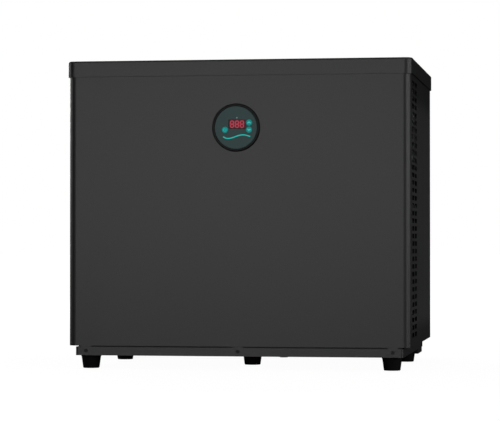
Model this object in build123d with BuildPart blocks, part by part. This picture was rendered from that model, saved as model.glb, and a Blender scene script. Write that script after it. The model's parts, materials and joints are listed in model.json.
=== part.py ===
"""Pool heat pump in a sheet-steel case: case, controller, fan, coil, compressor and water heat exchanger.

Millimetres. X runs to the right seen from the front, Y runs to the back and Z runs up from the floor.
Places are given as x, depth behind the lid's front face, and height above the floor.
"""

from build123d import *
from math import cos, radians, sin
import os

# ---------------------------------------- driving dimensions: case
HEIGHT = 709.8
LID_WIDTH = 800.0
LID_DEPTH = 600.0
LID_SKIRT = 36.6
LID_EDGE_RADIUS = 4.0
CORNER_RADIUS = 18.5
SHEET = 1.2
CASE_INSET = 3.05
CASE_BOTTOM = 52.6
CASE_TOP = HEIGHT - SHEET - 0.5
CASE_HALF_WIDTH = LID_WIDTH / 2 - CASE_INSET
CASE_BACK = LID_DEPTH - CASE_INSET
FRONT_RETURN = 24.0
SEAM = 1.0
SIDE_FLANGE = 36.0
SCREW_RADIUS = 2.0
SCREW_HOLE = SCREW_RADIUS + 0.3
SCREW_HEAD_RADIUS = 4.2
SCREW_HEAD_HEIGHT = 2.4
BOLT_RADIUS = 4.0
BOLT_HOLE = BOLT_RADIUS + 0.3
HEX_RADIUS = 7.5
NUT_HEIGHT = 6.5

# ---------------------------------------- driving dimensions: base and feet
BASE_HALF_WIDTH = 379.4
BASE_FRONT = 1.7
BASE_BACK = 556.6
BASE_BOTTOM = 30.5
BASE_TOP = 50.1
BASE_LIP = 20.0
BASE_CORNER = 6.0
PAN_FLOOR = BASE_BOTTOM + SHEET
FOOT_X = 350.2
FOOT_FRONT_DEPTH = 37.7
FOOT_REAR_DEPTH = 409.0
FOOT_TOP_RADIUS = 23.0
FOOT_BOTTOM_RADIUS = 19.0
RAIL_BOTTOM = 17.5
RAIL_FRONT = 434.0

# ---------------------------------------- driving dimensions: side slots
SLOT_ROWS = 34
SLOT_PITCH = 17.42
SLOT_LENGTH = 56.0
SLOT_HEIGHT = 11.0
SLOT_LOWEST = 79.2
SLOT_COLUMN_DEPTHS = (59.0, 132.0)

# ---------------------------------------- driving dimensions: controller
CONTROLLER_X = -3.5
CONTROLLER_Z = 553.5
BEZEL_RADIUS = 55.2
BEZEL_PROUD = 5.2
LENS_RADIUS = 48.8
LENS_FRONT = 4.2
LENS_BACK = 1.6
BARREL_RADIUS = 51.5
HOUSING_RADIUS = 49.0
HOUSING_BACK = -24.0
BOARD_FRONT = -7.4
BUTTON_RADIUS = 7.0
BUTTON_PLACES = {"power_button": (-25.6, -5.1), "up_button": (30.4, 10.9), "down_button": (30.2, -5.1)}
DISPLAY_CENTRE = (2.5, 7.6)
DISPLAY_SIZE = (38.0, 20.0)

# ---------------------------------------- driving dimensions: air side
COIL_LEFT = -345.0
COIL_RIGHT = 150.0
COIL_FRONT = 190.0
COIL_BACK = 234.0
COIL_BOTTOM = 55.0
COIL_TOP = 680.0
TUBE_RADIUS = 4.75
TUBE_PITCH = 26.0
TUBE_COUNT = 24
TUBE_LOWEST = 68.0
TUBE_ROWS = (201.0, 223.0)
FAN_X = -105.0
FAN_Z = 375.0
FAN_RADIUS = 215.0
FAN_FRONT = 500.0
FAN_BACK = 560.0
HUB_RADIUS = 45.0
SHAFT_RADIUS = 6.0
SHROUD_RADIUS = 219.0
GUARD_RADIUS = 238.0
BLADE_COUNT = 3

# ---------------------------------------- driving dimensions: refrigerant and water side
PARTITION_X = 152.0
PARTITION_FRONT = 180.0
COMPRESSOR_X = 258.0
COMPRESSOR_DEPTH = 300.0
COMPRESSOR_RADIUS = 62.0
COMPRESSOR_TOP = 335.0
COMPRESSOR_FOOT_CIRCLE = 85.0
COMPRESSOR_FOOT_ANGLES = (30, 150, 270)
COMPRESSOR_PLATE = (58.0, 61.0)
ACCUMULATOR_X = 358.0
EXCHANGER_X = 275.0
EXCHANGER_DEPTH = 452.0
EXCHANGER_RADIUS = 70.0
EXCHANGER_BOTTOM = 36.0
EXCHANGER_TOP = 345.0
COIL_TURN_RADIUS = 45.0
COIL_TUBE = 8.0
RISER_TOP = 360.0
WATER_PORT_HEIGHTS = {"water_inlet_union": 120.0, "water_outlet_union": 290.0}
SOCKET_RADIUS = 25.15
SOCKET_LENGTH = 32.0
UNION_REACH = 72.8
VALVE_X = 258.0
VALVE_Z = 415.0
HEADER_X = 190.0
DISTRIBUTOR_X = 215.0
DRIER_X = 185.0
DRIER_DEPTH = 400.0
EXPANSION_BOTTOM = 168.0
EXPANSION_TOP = 216.0

# ---------------------------------------- driving dimensions: electric box
BOX_LEFT = PARTITION_X + SHEET + 0.2
BOX_RIGHT = 385.0
BOX_FRONT = 240.0
BOX_BACK = 565.0
BOX_BOTTOM = 470.0
BOX_TOP = 680.0
GLAND_PLACES = ((300.0, 600.0), (345.0, 600.0))
GLAND_BORE = 6.5

UNION_END = CASE_BACK + UNION_REACH
# The origin lies on the floor, half way between the bezel's front and the water unions' ends.
CENTRE_DEPTH = (UNION_END + CASE_INSET - BEZEL_PROUD) / 2
# Beyond any piece, so that a cut goes right through it.
BEYOND = 50.0

os.makedirs("parts", exist_ok=True)


# ---------------------------------------- shared shapes
def at_depth(depth):
    """Y of a place this far behind the lid's front face."""
    return depth - CENTRE_DEPTH


def facing(depth):
    """Upright plane that faces the front at this depth, with its own x and y along X and Z."""
    return Plane(origin=(0, at_depth(depth), 0), x_dir=(1, 0, 0), z_dir=(0, -1, 0))


def block(x, depth, z, mode=Mode.ADD):
    """Box between two x's, two depths and two heights."""
    with Locations((sum(x) / 2, at_depth(sum(depth) / 2), sum(z) / 2)):
        Box(x[1] - x[0], depth[1] - depth[0], z[1] - z[0], mode=mode)


def rounded_block(x, depth, z, radius, mode=Mode.ADD):
    """Box with rounded upright corners."""
    with BuildSketch(Plane.XY.offset(z[0])) as outline:
        with Locations((sum(x) / 2, at_depth(sum(depth) / 2))):
            RectangleRounded(x[1] - x[0], depth[1] - depth[0], radius)
    extrude(outline.sketch, amount=z[1] - z[0], mode=mode)


def bar(x, z, radius, front, back, mode=Mode.ADD):
    """Round bar that runs from the front depth to the back depth."""
    with BuildSketch(facing(back)) as section:
        with Locations((x, z)):
            Circle(radius)
    extrude(section.sketch, amount=back - front, mode=mode)


def post(x, depth, radius, low, high, mode=Mode.ADD):
    """Upright round bar."""
    with BuildSketch(Plane.XY.offset(low)) as section:
        with Locations((x, at_depth(depth))):
            Circle(radius)
    extrude(section.sketch, amount=high - low, mode=mode)


def hexagon(x, z, radius, front, back):
    """Hexagonal bar that runs from the front depth to the back depth."""
    with BuildSketch(facing(back)) as section:
        with Locations((x, z)):
            RegularPolygon(radius, 6)
    extrude(section.sketch, amount=back - front)


def pipe(points, radius, bend):
    """Bent pipe through places given as x, depth and height."""
    with BuildLine() as route:
        FilletPolyline(*[(x, at_depth(depth), z) for x, depth, z in points], radius=bend)
    with BuildSketch(Plane(origin=route.wire() @ 0, z_dir=route.wire() % 0)) as section:
        Circle(radius)
    sweep(section.sketch, path=route.wire())


def save(piece, name):
    """Labels the finished piece and writes it to its own file."""
    piece.part.label = name
    export_step(piece.part, f"parts/{name}.step")


# ---------------------------------------- case: lid
LID_BACK_SCREWS = [(x, CASE_TOP - 17.0) for x in (-330.0, 0.0, 330.0)]

with BuildPart() as top_lid:
    rounded_block(
        (-LID_WIDTH / 2, LID_WIDTH / 2), (0, LID_DEPTH), (HEIGHT - LID_SKIRT, HEIGHT), CORNER_RADIUS
    )
    fillet(top_lid.faces().sort_by(Axis.Z)[-1].edges(), LID_EDGE_RADIUS)
    rounded_block(
        (SHEET - LID_WIDTH / 2, LID_WIDTH / 2 - SHEET),
        (SHEET, LID_DEPTH - SHEET),
        (HEIGHT - LID_SKIRT - BEYOND, HEIGHT - SHEET),
        CORNER_RADIUS - SHEET,
        mode=Mode.SUBTRACT,
    )
    for screw_x, screw_z in LID_BACK_SCREWS:
        bar(screw_x, screw_z, SCREW_HOLE, LID_DEPTH - 3.0, LID_DEPTH + 1.0, mode=Mode.SUBTRACT)
save(top_lid, "top_lid")


# ---------------------------------------- case: front panel
def wrapped_panel(front, back, corners_at_back):
    """Shallow tray as wide as the case, with its two outer upright corners rounded."""
    group = -1 if corners_at_back else 0
    for inset, mode in ((0, Mode.ADD), (SHEET, Mode.SUBTRACT)):
        low = front - BEYOND if inset and corners_at_back else front + inset
        high = back + BEYOND if inset and not corners_at_back else back - inset
        with BuildSketch(Plane.XY.offset(CASE_BOTTOM + inset)) as outline:
            with Locations((0, at_depth((low + high) / 2))):
                Rectangle(2 * (CASE_HALF_WIDTH - inset), high - low)
            fillet(outline.vertices().group_by(Axis.Y)[group], CORNER_RADIUS - inset)
        extrude(outline.sketch, amount=CASE_TOP - CASE_BOTTOM - 2 * inset, mode=mode)


RAIL_SCREW_XS = (-354.8, 0.0, 354.8)
RAIL_SCREW_Z = 41.7
TAB_FRONT = BASE_FRONT + SHEET + 0.1
TAB_BACK = TAB_FRONT + SHEET
TAB_HALF_WIDTH = 12.0
TAB_BELOW_SCREW = 6.0

with BuildPart() as front_panel:
    wrapped_panel(CASE_INSET, FRONT_RETURN, corners_at_back=False)
    bar(CONTROLLER_X, CONTROLLER_Z, BARREL_RADIUS + 0.5, 0, FRONT_RETURN, mode=Mode.SUBTRACT)
    for tab_x in RAIL_SCREW_XS:
        block(
            (tab_x - TAB_HALF_WIDTH, tab_x + TAB_HALF_WIDTH),
            (TAB_FRONT, TAB_BACK),
            (RAIL_SCREW_Z - TAB_BELOW_SCREW, CASE_BOTTOM + SHEET),
        )
        bar(tab_x, RAIL_SCREW_Z, SCREW_HOLE, 0, FRONT_RETURN, mode=Mode.SUBTRACT)
save(front_panel, "front_panel")


# ---------------------------------------- case: side panels with their air slots
SIDE_FRONT = FRONT_RETURN + SEAM
REAR_RETURN = CASE_BACK - 21.2
SIDE_BACK = REAR_RETURN - SEAM

with BuildPart() as right_side_panel:
    block(
        (CASE_HALF_WIDTH - SIDE_FLANGE, CASE_HALF_WIDTH), (SIDE_FRONT, SIDE_BACK), (CASE_BOTTOM, CASE_TOP)
    )
    block(
        (CASE_HALF_WIDTH - SIDE_FLANGE - BEYOND, CASE_HALF_WIDTH - SHEET),
        (SIDE_FRONT + SHEET, SIDE_BACK - SHEET),
        (CASE_BOTTOM + SHEET, CASE_TOP - SHEET),
        mode=Mode.SUBTRACT,
    )
    with BuildSketch(Plane.YZ.offset(CASE_HALF_WIDTH)):
        for column in SLOT_COLUMN_DEPTHS:
            for row in range(SLOT_ROWS):
                with Locations((at_depth(column), SLOT_LOWEST + row * SLOT_PITCH)):
                    SlotOverall(SLOT_LENGTH, SLOT_HEIGHT)
    extrude(amount=-2 * SHEET, mode=Mode.SUBTRACT)
save(right_side_panel, "right_side_panel")

with BuildPart() as left_side_panel:
    add(mirror(right_side_panel.part, about=Plane.YZ, mode=Mode.PRIVATE))
save(left_side_panel, "left_side_panel")


# ---------------------------------------- case: rear panel with the fan outlet
REAR_BOTTOM_FLANGE = BASE_BACK - 18.0
GUARD_EAR_CIRCLE = GUARD_RADIUS + 8.0
GUARD_SCREWS = [
    (FAN_X + GUARD_EAR_CIRCLE * cos(radians(angle)), FAN_Z + GUARD_EAR_CIRCLE * sin(radians(angle)))
    for angle in (45, 135, 225, 315)
]
REAR_EDGE_SCREWS = [(x, z) for x in (-372.0, 372.0) for z in (80.0, 375.0, 655.0)]
UNION_HOLE_RADIUS = 36.5
GLAND_HOLE = 10.2
REAR_FLANGE_HALF_WIDTH = 360.0

with BuildPart() as rear_panel:
    wrapped_panel(REAR_RETURN, CASE_BACK, corners_at_back=True)
    block(
        (-REAR_FLANGE_HALF_WIDTH, REAR_FLANGE_HALF_WIDTH),
        (REAR_BOTTOM_FLANGE, REAR_RETURN + 2),
        (CASE_BOTTOM, CASE_BOTTOM + SHEET),
    )
    bar(FAN_X, FAN_Z, SHROUD_RADIUS + 2.0, REAR_RETURN + 2, CASE_BACK + 5, mode=Mode.SUBTRACT)
    for port_z in WATER_PORT_HEIGHTS.values():
        bar(EXCHANGER_X, port_z, UNION_HOLE_RADIUS, REAR_RETURN + 2, CASE_BACK + 5, mode=Mode.SUBTRACT)
    for gland_x, gland_z in GLAND_PLACES:
        bar(gland_x, gland_z, GLAND_HOLE, REAR_RETURN + 2, CASE_BACK + 5, mode=Mode.SUBTRACT)
    for screw_x, screw_z in GUARD_SCREWS + REAR_EDGE_SCREWS + LID_BACK_SCREWS:
        bar(screw_x, screw_z, SCREW_HOLE, CASE_BACK - 3, CASE_BACK + 5, mode=Mode.SUBTRACT)
save(rear_panel, "rear_panel")


# ---------------------------------------- base: pan, gasket and rear cross rail
DRAIN_X = 60.0
DRAIN_DEPTH = 330.0
DRAIN_HOLE = 10.0
FOOT_PLACES = {
    "foot_front_left": (-FOOT_X, FOOT_FRONT_DEPTH),
    "foot_front_right": (FOOT_X, FOOT_FRONT_DEPTH),
    "foot_rear_left": (-FOOT_X, FOOT_REAR_DEPTH),
    "foot_rear_right": (FOOT_X, FOOT_REAR_DEPTH),
    "foot_centre": (0.0, (FOOT_FRONT_DEPTH + FOOT_REAR_DEPTH) / 2),
}

with BuildPart() as base_pan:
    rounded_block(
        (-BASE_HALF_WIDTH, BASE_HALF_WIDTH), (BASE_FRONT, BASE_BACK), (BASE_BOTTOM, BASE_TOP), BASE_CORNER
    )
    rounded_block(
        (SHEET - BASE_HALF_WIDTH, BASE_HALF_WIDTH - SHEET),
        (BASE_FRONT + SHEET, BASE_BACK - SHEET),
        (PAN_FLOOR, BASE_TOP - SHEET),
        BASE_CORNER - SHEET,
        mode=Mode.SUBTRACT,
    )
    rounded_block(
        (BASE_LIP - BASE_HALF_WIDTH, BASE_HALF_WIDTH - BASE_LIP),
        (BASE_FRONT + BASE_LIP, BASE_BACK - BASE_LIP),
        (BASE_TOP - 2 * SHEET, BASE_TOP + 1),
        BASE_CORNER,
        mode=Mode.SUBTRACT,
    )
    for foot_x, foot_depth in FOOT_PLACES.values():
        post(foot_x, foot_depth, BOLT_HOLE, 0, PAN_FLOOR + 1, mode=Mode.SUBTRACT)
    post(DRAIN_X, DRAIN_DEPTH, DRAIN_HOLE, 0, PAN_FLOOR + 1, mode=Mode.SUBTRACT)
    for screw_x in RAIL_SCREW_XS:
        bar(screw_x, RAIL_SCREW_Z, SCREW_HOLE, 0, BASE_FRONT + 2 * SHEET, mode=Mode.SUBTRACT)
        # Notch in the lip for the front panel's tab
        block(
            (screw_x - TAB_HALF_WIDTH - 1, screw_x + TAB_HALF_WIDTH + 1),
            (TAB_FRONT, TAB_BACK + 1),
            (BASE_TOP - 2 * SHEET, BASE_TOP),
            mode=Mode.SUBTRACT,
        )
save(base_pan, "base_pan")

GASKET_INSET = 6.0
GASKET_WIDTH = 12.0
with BuildPart() as base_gasket:
    for inset, mode in ((GASKET_INSET, Mode.ADD), (GASKET_INSET + GASKET_WIDTH, Mode.SUBTRACT)):
        rounded_block(
            (inset - BASE_HALF_WIDTH, BASE_HALF_WIDTH - inset),
            (BASE_FRONT + inset, BASE_BACK - inset),
            (BASE_TOP, CASE_BOTTOM),
            3.0,
            mode=mode,
        )
save(base_gasket, "base_gasket")

RAIL_SHEET = 2.0
RAIL_HALF_WIDTH = BASE_HALF_WIDTH - 2.0
RAIL_BACK = BASE_BACK - 1.0
with BuildPart() as rear_cross_rail:
    block((-RAIL_HALF_WIDTH, RAIL_HALF_WIDTH), (RAIL_FRONT, RAIL_BACK), (RAIL_BOTTOM, BASE_BOTTOM))
    fillet(rear_cross_rail.edges().filter_by(Axis.X).group_by(Axis.Z)[0], 3.0)
    block(
        (RAIL_SHEET - RAIL_HALF_WIDTH, RAIL_HALF_WIDTH - RAIL_SHEET),
        (RAIL_FRONT + RAIL_SHEET, RAIL_BACK - RAIL_SHEET),
        (RAIL_BOTTOM + RAIL_SHEET, BASE_BOTTOM + 1),
        mode=Mode.SUBTRACT,
    )
save(rear_cross_rail, "rear_cross_rail")


# ---------------------------------------- base: feet, their bolts, drain spout and screws
FOOT_COLLAR = 3.0
FOOT_POCKET = 9.0
BOLT_HEAD_LOW = 8.0
BOLT_HEAD_HIGH = 13.5

for foot_name, (foot_x, foot_depth) in FOOT_PLACES.items():
    with BuildPart() as foot:
        foot_middle = (foot_x, at_depth(foot_depth), 0)
        with BuildSketch(Plane(origin=foot_middle, x_dir=(1, 0, 0), z_dir=(0, -1, 0))):
            with BuildLine():
                Polyline(
                    (BOLT_HOLE, BASE_BOTTOM),
                    (FOOT_TOP_RADIUS + 0.5, BASE_BOTTOM),
                    (FOOT_TOP_RADIUS + 0.5, BASE_BOTTOM - FOOT_COLLAR),
                    (FOOT_TOP_RADIUS - 0.5, BASE_BOTTOM - FOOT_COLLAR - 1),
                    (FOOT_BOTTOM_RADIUS, 1.2),
                    (FOOT_BOTTOM_RADIUS - 1.2, 0),
                    (FOOT_POCKET, 0),
                    (FOOT_POCKET, BOLT_HEAD_HIGH),
                    (BOLT_HOLE, BOLT_HEAD_HIGH),
                    close=True,
                )
            make_face()
        revolve(axis=Axis(foot_middle, (0, 0, 1)))
    save(foot, foot_name)

with BuildPart() as foot_bolts:
    for foot_x, foot_depth in FOOT_PLACES.values():
        with BuildSketch(Plane.XY.offset(BOLT_HEAD_LOW)):
            with Locations((foot_x, at_depth(foot_depth))):
                RegularPolygon(HEX_RADIUS, 6)
        extrude(amount=BOLT_HEAD_HIGH - BOLT_HEAD_LOW)
        post(foot_x, foot_depth, BOLT_RADIUS, BOLT_HEAD_LOW, PAN_FLOOR + NUT_HEIGHT + 2.5)
    for foot_x, foot_depth in FOOT_PLACES.values():
        with BuildSketch(Plane.XY.offset(PAN_FLOOR)):
            with Locations((foot_x, at_depth(foot_depth))):
                RegularPolygon(HEX_RADIUS, 6)
                Circle(BOLT_RADIUS + 0.05, mode=Mode.SUBTRACT)
        extrude(amount=NUT_HEIGHT)
save(foot_bolts, "foot_bolts")

SPOUT_RADIUS = 9.5
SPOUT_BORE = 7.5
SPOUT_BOTTOM = 12.0
SPOUT_FLANGE = 15.0
SPOUT_FLANGE_THICKNESS = 2.5
with BuildPart() as drain_spout:
    post(DRAIN_X, DRAIN_DEPTH, SPOUT_FLANGE, BASE_BOTTOM - SPOUT_FLANGE_THICKNESS, BASE_BOTTOM)
    post(DRAIN_X, DRAIN_DEPTH, SPOUT_RADIUS, SPOUT_BOTTOM, PAN_FLOOR)
    post(DRAIN_X, DRAIN_DEPTH, SPOUT_FLANGE - 1, PAN_FLOOR, PAN_FLOOR + SPOUT_FLANGE_THICKNESS)
    post(DRAIN_X, DRAIN_DEPTH, SPOUT_BORE, 0, PAN_FLOOR + BEYOND, mode=Mode.SUBTRACT)
save(drain_spout, "drain_spout")


CROSS_SIZE = (5.0, 1.0)
CROSS_DEPTH = 1.2


def screw(x, z, face, inward, length):
    """Pan-head screw with its head on the face at this depth; inward is 1 from the front, -1 from behind."""
    head = face - SCREW_HEAD_HEIGHT * inward
    tip = face + length * inward
    bar(x, z, SCREW_HEAD_RADIUS, min(face, head), max(face, head))
    bar(x, z, SCREW_RADIUS, min(face, tip), max(face, tip))
    with BuildSketch(facing(head)) as cross:
        with Locations((x, z)):
            Rectangle(*CROSS_SIZE)
            Rectangle(*reversed(CROSS_SIZE))
    extrude(cross.sketch, amount=-CROSS_DEPTH * inward, mode=Mode.SUBTRACT)


with BuildPart() as base_rail_screws:
    for screw_x in RAIL_SCREW_XS:
        screw(screw_x, RAIL_SCREW_Z, BASE_FRONT, 1, 8.0)
save(base_rail_screws, "base_rail_screws")

with BuildPart() as lid_screws:
    for screw_x, screw_z in LID_BACK_SCREWS:
        screw(screw_x, screw_z, LID_DEPTH, -1, 9.0)
save(lid_screws, "lid_screws")

GUARD_EAR = 2.0
with BuildPart() as rear_panel_screws:
    for screw_x, screw_z in REAR_EDGE_SCREWS:
        screw(screw_x, screw_z, CASE_BACK, -1, 8.0)
    for screw_x, screw_z in GUARD_SCREWS:
        screw(screw_x, screw_z, CASE_BACK + GUARD_EAR, -1, 8.0)
save(rear_panel_screws, "rear_panel_screws")


# ---------------------------------------- controller: heights are out from the front panel
def controller_plane(height):
    """Plane that faces the front at this height above the front panel, centred on the controller."""
    return Plane(
        origin=(CONTROLLER_X, at_depth(CASE_INSET - height), CONTROLLER_Z), x_dir=(1, 0, 0), z_dir=(0, -1, 0)
    )


def dial(radius, low, high, place=(0, 0), mode=Mode.ADD):
    """Disc between two heights above the front panel."""
    with BuildSketch(controller_plane(low)) as section:
        with Locations(place):
            Circle(radius)
    extrude(section.sketch, amount=high - low, mode=mode)


GASKET_HEIGHT = 0.8
with BuildPart() as controller_bezel:
    dial(BEZEL_RADIUS, GASKET_HEIGHT, BEZEL_PROUD)
    fillet(controller_bezel.faces().sort_by(Axis.Y)[0].edges(), 2.6)
    dial(BARREL_RADIUS, -10.0, GASKET_HEIGHT)
    dial(HOUSING_RADIUS + 0.2, -BEYOND, BEYOND, mode=Mode.SUBTRACT)
    chamfer(controller_bezel.faces().sort_by(Axis.Y)[0].edges().sort_by(SortBy.LENGTH)[0], 0.8)
save(controller_bezel, "controller_bezel")

with BuildPart() as controller_gasket:
    dial(BEZEL_RADIUS - 1.0, 0, GASKET_HEIGHT)
    dial(BARREL_RADIUS + 0.5, -1, GASKET_HEIGHT + 1, mode=Mode.SUBTRACT)
save(controller_gasket, "controller_gasket")

with BuildPart() as controller_lens:
    dial(LENS_RADIUS, LENS_BACK, LENS_FRONT)
    fillet(controller_lens.faces().sort_by(Axis.Y)[0].edges(), 0.6)
    for place in BUTTON_PLACES.values():
        dial(BUTTON_RADIUS + 0.35, 0, BEZEL_PROUD, place, Mode.SUBTRACT)
    with BuildSketch(controller_plane(0)):
        with Locations(DISPLAY_CENTRE):
            Rectangle(DISPLAY_SIZE[0] + 0.6, DISPLAY_SIZE[1] + 0.6)
    extrude(amount=BEZEL_PROUD, mode=Mode.SUBTRACT)
save(controller_lens, "controller_lens")

HOUSING_WALL = 2.0
BOARD_THICKNESS = 1.6
BOSS_CIRCLE = 38.0
BOSS_ANGLES = (60, 120, 240, 300)
with BuildPart() as controller_housing:
    dial(HOUSING_RADIUS, HOUSING_BACK, LENS_BACK - 0.1)
    dial(HOUSING_RADIUS - HOUSING_WALL, HOUSING_BACK + HOUSING_WALL, BEYOND, mode=Mode.SUBTRACT)
    for angle in BOSS_ANGLES:
        boss_place = (BOSS_CIRCLE * cos(radians(angle)), BOSS_CIRCLE * sin(radians(angle)))
        dial(3.0, HOUSING_BACK + HOUSING_WALL / 2, BOARD_FRONT - BOARD_THICKNESS, boss_place)
save(controller_housing, "controller_housing")

BOARD_RADIUS = 46.5
SWITCH_SIDE = 6.0
SWITCH_HEIGHT = 2.0
SWITCH_TOP = -4.7
CHIP_HEIGHT = 3.0
# Centre and size of each chip on the board's back
CHIPS = (((-12.0, -24.0), (14.0, 10.0)), ((12.0, -24.0), (9.0, 9.0)))
with BuildPart() as controller_board:
    dial(BOARD_RADIUS, BOARD_FRONT - BOARD_THICKNESS, BOARD_FRONT)
    for place in BUTTON_PLACES.values():
        with BuildSketch(controller_plane(BOARD_FRONT)):
            with Locations(place):
                Rectangle(SWITCH_SIDE, SWITCH_SIDE)
        extrude(amount=SWITCH_HEIGHT)
        dial(1.7, BOARD_FRONT, SWITCH_TOP, place)
    with BuildSketch(controller_plane(BOARD_FRONT - BOARD_THICKNESS)):
        for chip_centre, chip_size in CHIPS:
            with Locations(chip_centre):
                Rectangle(*chip_size)
    extrude(amount=-CHIP_HEIGHT)
save(controller_board, "controller_board")

# Places of a digit's seven segments, in units of the digit's half size
FLAT_SEGMENTS = [(0, up) for up in (-1, 0, 1)]
UPRIGHT_SEGMENTS = [(across, up) for across in (-1, 1) for up in (-0.5, 0.5)]
SEGMENT_LENGTH = 5.6
SEGMENT_WIDTH = 1.3
SEGMENT_PROUD = 0.25
DIGIT_HALF_WIDTH = 3.6
DIGIT_HALF_HEIGHT = 7.2
DIGIT_STEP = 12.0
DISPLAY_FRONT = LENS_FRONT - 0.35
with BuildPart() as digit_display:
    with BuildSketch(controller_plane(BOARD_FRONT)):
        with Locations(DISPLAY_CENTRE):
            Rectangle(*DISPLAY_SIZE)
    extrude(amount=DISPLAY_FRONT - BOARD_FRONT)
    with BuildSketch(controller_plane(DISPLAY_FRONT)):
        for digit in (-1, 0, 1):
            digit_x = DISPLAY_CENTRE[0] + digit * DIGIT_STEP
            for places, turn in ((FLAT_SEGMENTS, 0), (UPRIGHT_SEGMENTS, 90)):
                for across, up in places:
                    segment_z = DISPLAY_CENTRE[1] + up * DIGIT_HALF_HEIGHT
                    with Locations((digit_x + across * DIGIT_HALF_WIDTH, segment_z)):
                        SlotOverall(SEGMENT_LENGTH, SEGMENT_WIDTH, rotation=turn)
    extrude(amount=SEGMENT_PROUD)
save(digit_display, "digit_display")

BUTTON_PROUD = 0.7
BUTTON_FLANGE_RADIUS = 7.9
BUTTON_FLANGE_BACK = 0.4
BUTTON_FLANGE_FRONT = LENS_BACK - 0.2
BUTTON_STEM_RADIUS = 3.0
BUTTON_STEM_BACK = -3.5
for button_name, place in BUTTON_PLACES.items():
    with BuildPart() as button:
        dial(BUTTON_RADIUS, BUTTON_FLANGE_FRONT, LENS_FRONT + BUTTON_PROUD, place)
        fillet(button.faces().sort_by(Axis.Y)[0].edges(), 0.5)
        dial(BUTTON_FLANGE_RADIUS, BUTTON_FLANGE_BACK, BUTTON_FLANGE_FRONT, place)
        dial(BUTTON_STEM_RADIUS, BUTTON_STEM_BACK, BUTTON_FLANGE_BACK, place)
    save(button, button_name)


# ---------------------------------------- air side: partition
PARTITION_SHEET = (PARTITION_X, PARTITION_X + SHEET)
PARTITION_RIGHT = 360.0
PARTITION_LOW = CASE_BOTTOM + 2.0
PARTITION_HIGH = CASE_TOP - 3.0
PARTITION_TOE_BACK = BASE_BACK - BASE_LIP - 2.0
with BuildPart() as partition_plate:
    block(PARTITION_SHEET, (COIL_BACK + 2, REAR_RETURN - 3), (PARTITION_LOW, PARTITION_HIGH))
    # Toe that stands on the pan's floor inside its lip
    block(PARTITION_SHEET, (COIL_BACK + 4, PARTITION_TOE_BACK), (PAN_FLOOR, PARTITION_LOW + 1))
    # Front wing, which closes the compressor's side off from the slots
    block(
        (PARTITION_X, PARTITION_RIGHT),
        (PARTITION_FRONT, PARTITION_FRONT + SHEET),
        (PARTITION_LOW, PARTITION_HIGH),
    )
    block(PARTITION_SHEET, (PARTITION_FRONT, PARTITION_FRONT + 6), (PAN_FLOOR, PARTITION_HIGH))
    # Strip over the coil that joins the two
    block(PARTITION_SHEET, (PARTITION_FRONT, COIL_BACK + 4), (COIL_TOP + 4, PARTITION_HIGH))
save(partition_plate, "partition_plate")


# ---------------------------------------- air side: evaporator coil
TUBE_HEIGHTS = [TUBE_LOWEST + index * TUBE_PITCH for index in range(TUBE_COUNT)]
END_PLATE = 1.5


def tube_holes(left, right):
    """Cuts every tube's hole between two x's."""
    with BuildSketch(Plane.YZ.offset(right)) as holes:
        for row in TUBE_ROWS:
            for height in TUBE_HEIGHTS:
                with Locations((at_depth(row), height)):
                    Circle(TUBE_RADIUS + 0.1)
    extrude(holes.sketch, amount=left - right, mode=Mode.SUBTRACT)


with BuildPart() as evaporator_fins:
    block((COIL_LEFT, COIL_RIGHT), (COIL_FRONT, COIL_BACK), (COIL_BOTTOM, COIL_TOP))
    tube_holes(COIL_LEFT - 1, COIL_RIGHT + 1)
save(evaporator_fins, "evaporator_fins")

with BuildPart() as evaporator_end_plates:
    for plate_x in (COIL_LEFT - END_PLATE, COIL_RIGHT):
        block((plate_x, plate_x + END_PLATE), (PARTITION_FRONT, COIL_BACK + 1.5), (PAN_FLOOR, COIL_TOP + 3))
    tube_holes(COIL_LEFT - 3, COIL_RIGHT + 3)
save(evaporator_end_plates, "evaporator_end_plates")

TUBE_END = 158.0
BEND_START = COIL_LEFT - 6.0
with BuildPart() as evaporator_tubes:
    for row in TUBE_ROWS:
        for low, high in zip(TUBE_HEIGHTS[::2], TUBE_HEIGHTS[1::2]):
            with BuildLine() as hairpin:
                lower = Line((TUBE_END, at_depth(row), low), (BEND_START, at_depth(row), low))
                outermost = (BEND_START - TUBE_PITCH / 2, at_depth(row), (low + high) / 2)
                turn = ThreePointArc(lower @ 1, outermost, (BEND_START, at_depth(row), high))
                Line(turn @ 1, (TUBE_END, at_depth(row), high))
            with BuildSketch(Plane(origin=(TUBE_END, at_depth(row), low), z_dir=(-1, 0, 0))):
                Circle(TUBE_RADIUS)
            sweep(path=hairpin.wire())
    for height in TUBE_HEIGHTS[::2]:
        with BuildLine() as crossover:
            ThreePointArc(
                (TUBE_END, at_depth(TUBE_ROWS[0]), height),
                (TUBE_END + (TUBE_ROWS[1] - TUBE_ROWS[0]) / 2, at_depth(sum(TUBE_ROWS) / 2), height),
                (TUBE_END, at_depth(TUBE_ROWS[1]), height),
            )
        with BuildSketch(Plane(origin=(TUBE_END, at_depth(TUBE_ROWS[0]), height), z_dir=(1, 0, 0))):
            Circle(TUBE_RADIUS)
        sweep(path=crossover.wire())
save(evaporator_tubes, "evaporator_tubes")

HEADER_RADIUS = 11.0
with BuildPart() as evaporator_header:
    post(HEADER_X, TUBE_ROWS[1], HEADER_RADIUS, TUBE_HEIGHTS[1] - 14, TUBE_HEIGHTS[-1] + 14)
    with BuildSketch(Plane.YZ.offset(TUBE_END + 0.2)):
        for height in TUBE_HEIGHTS[1::2]:
            with Locations((at_depth(TUBE_ROWS[1]), height)):
                Circle(TUBE_RADIUS)
    extrude(amount=HEADER_X - TUBE_END)
save(evaporator_header, "evaporator_header")

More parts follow.
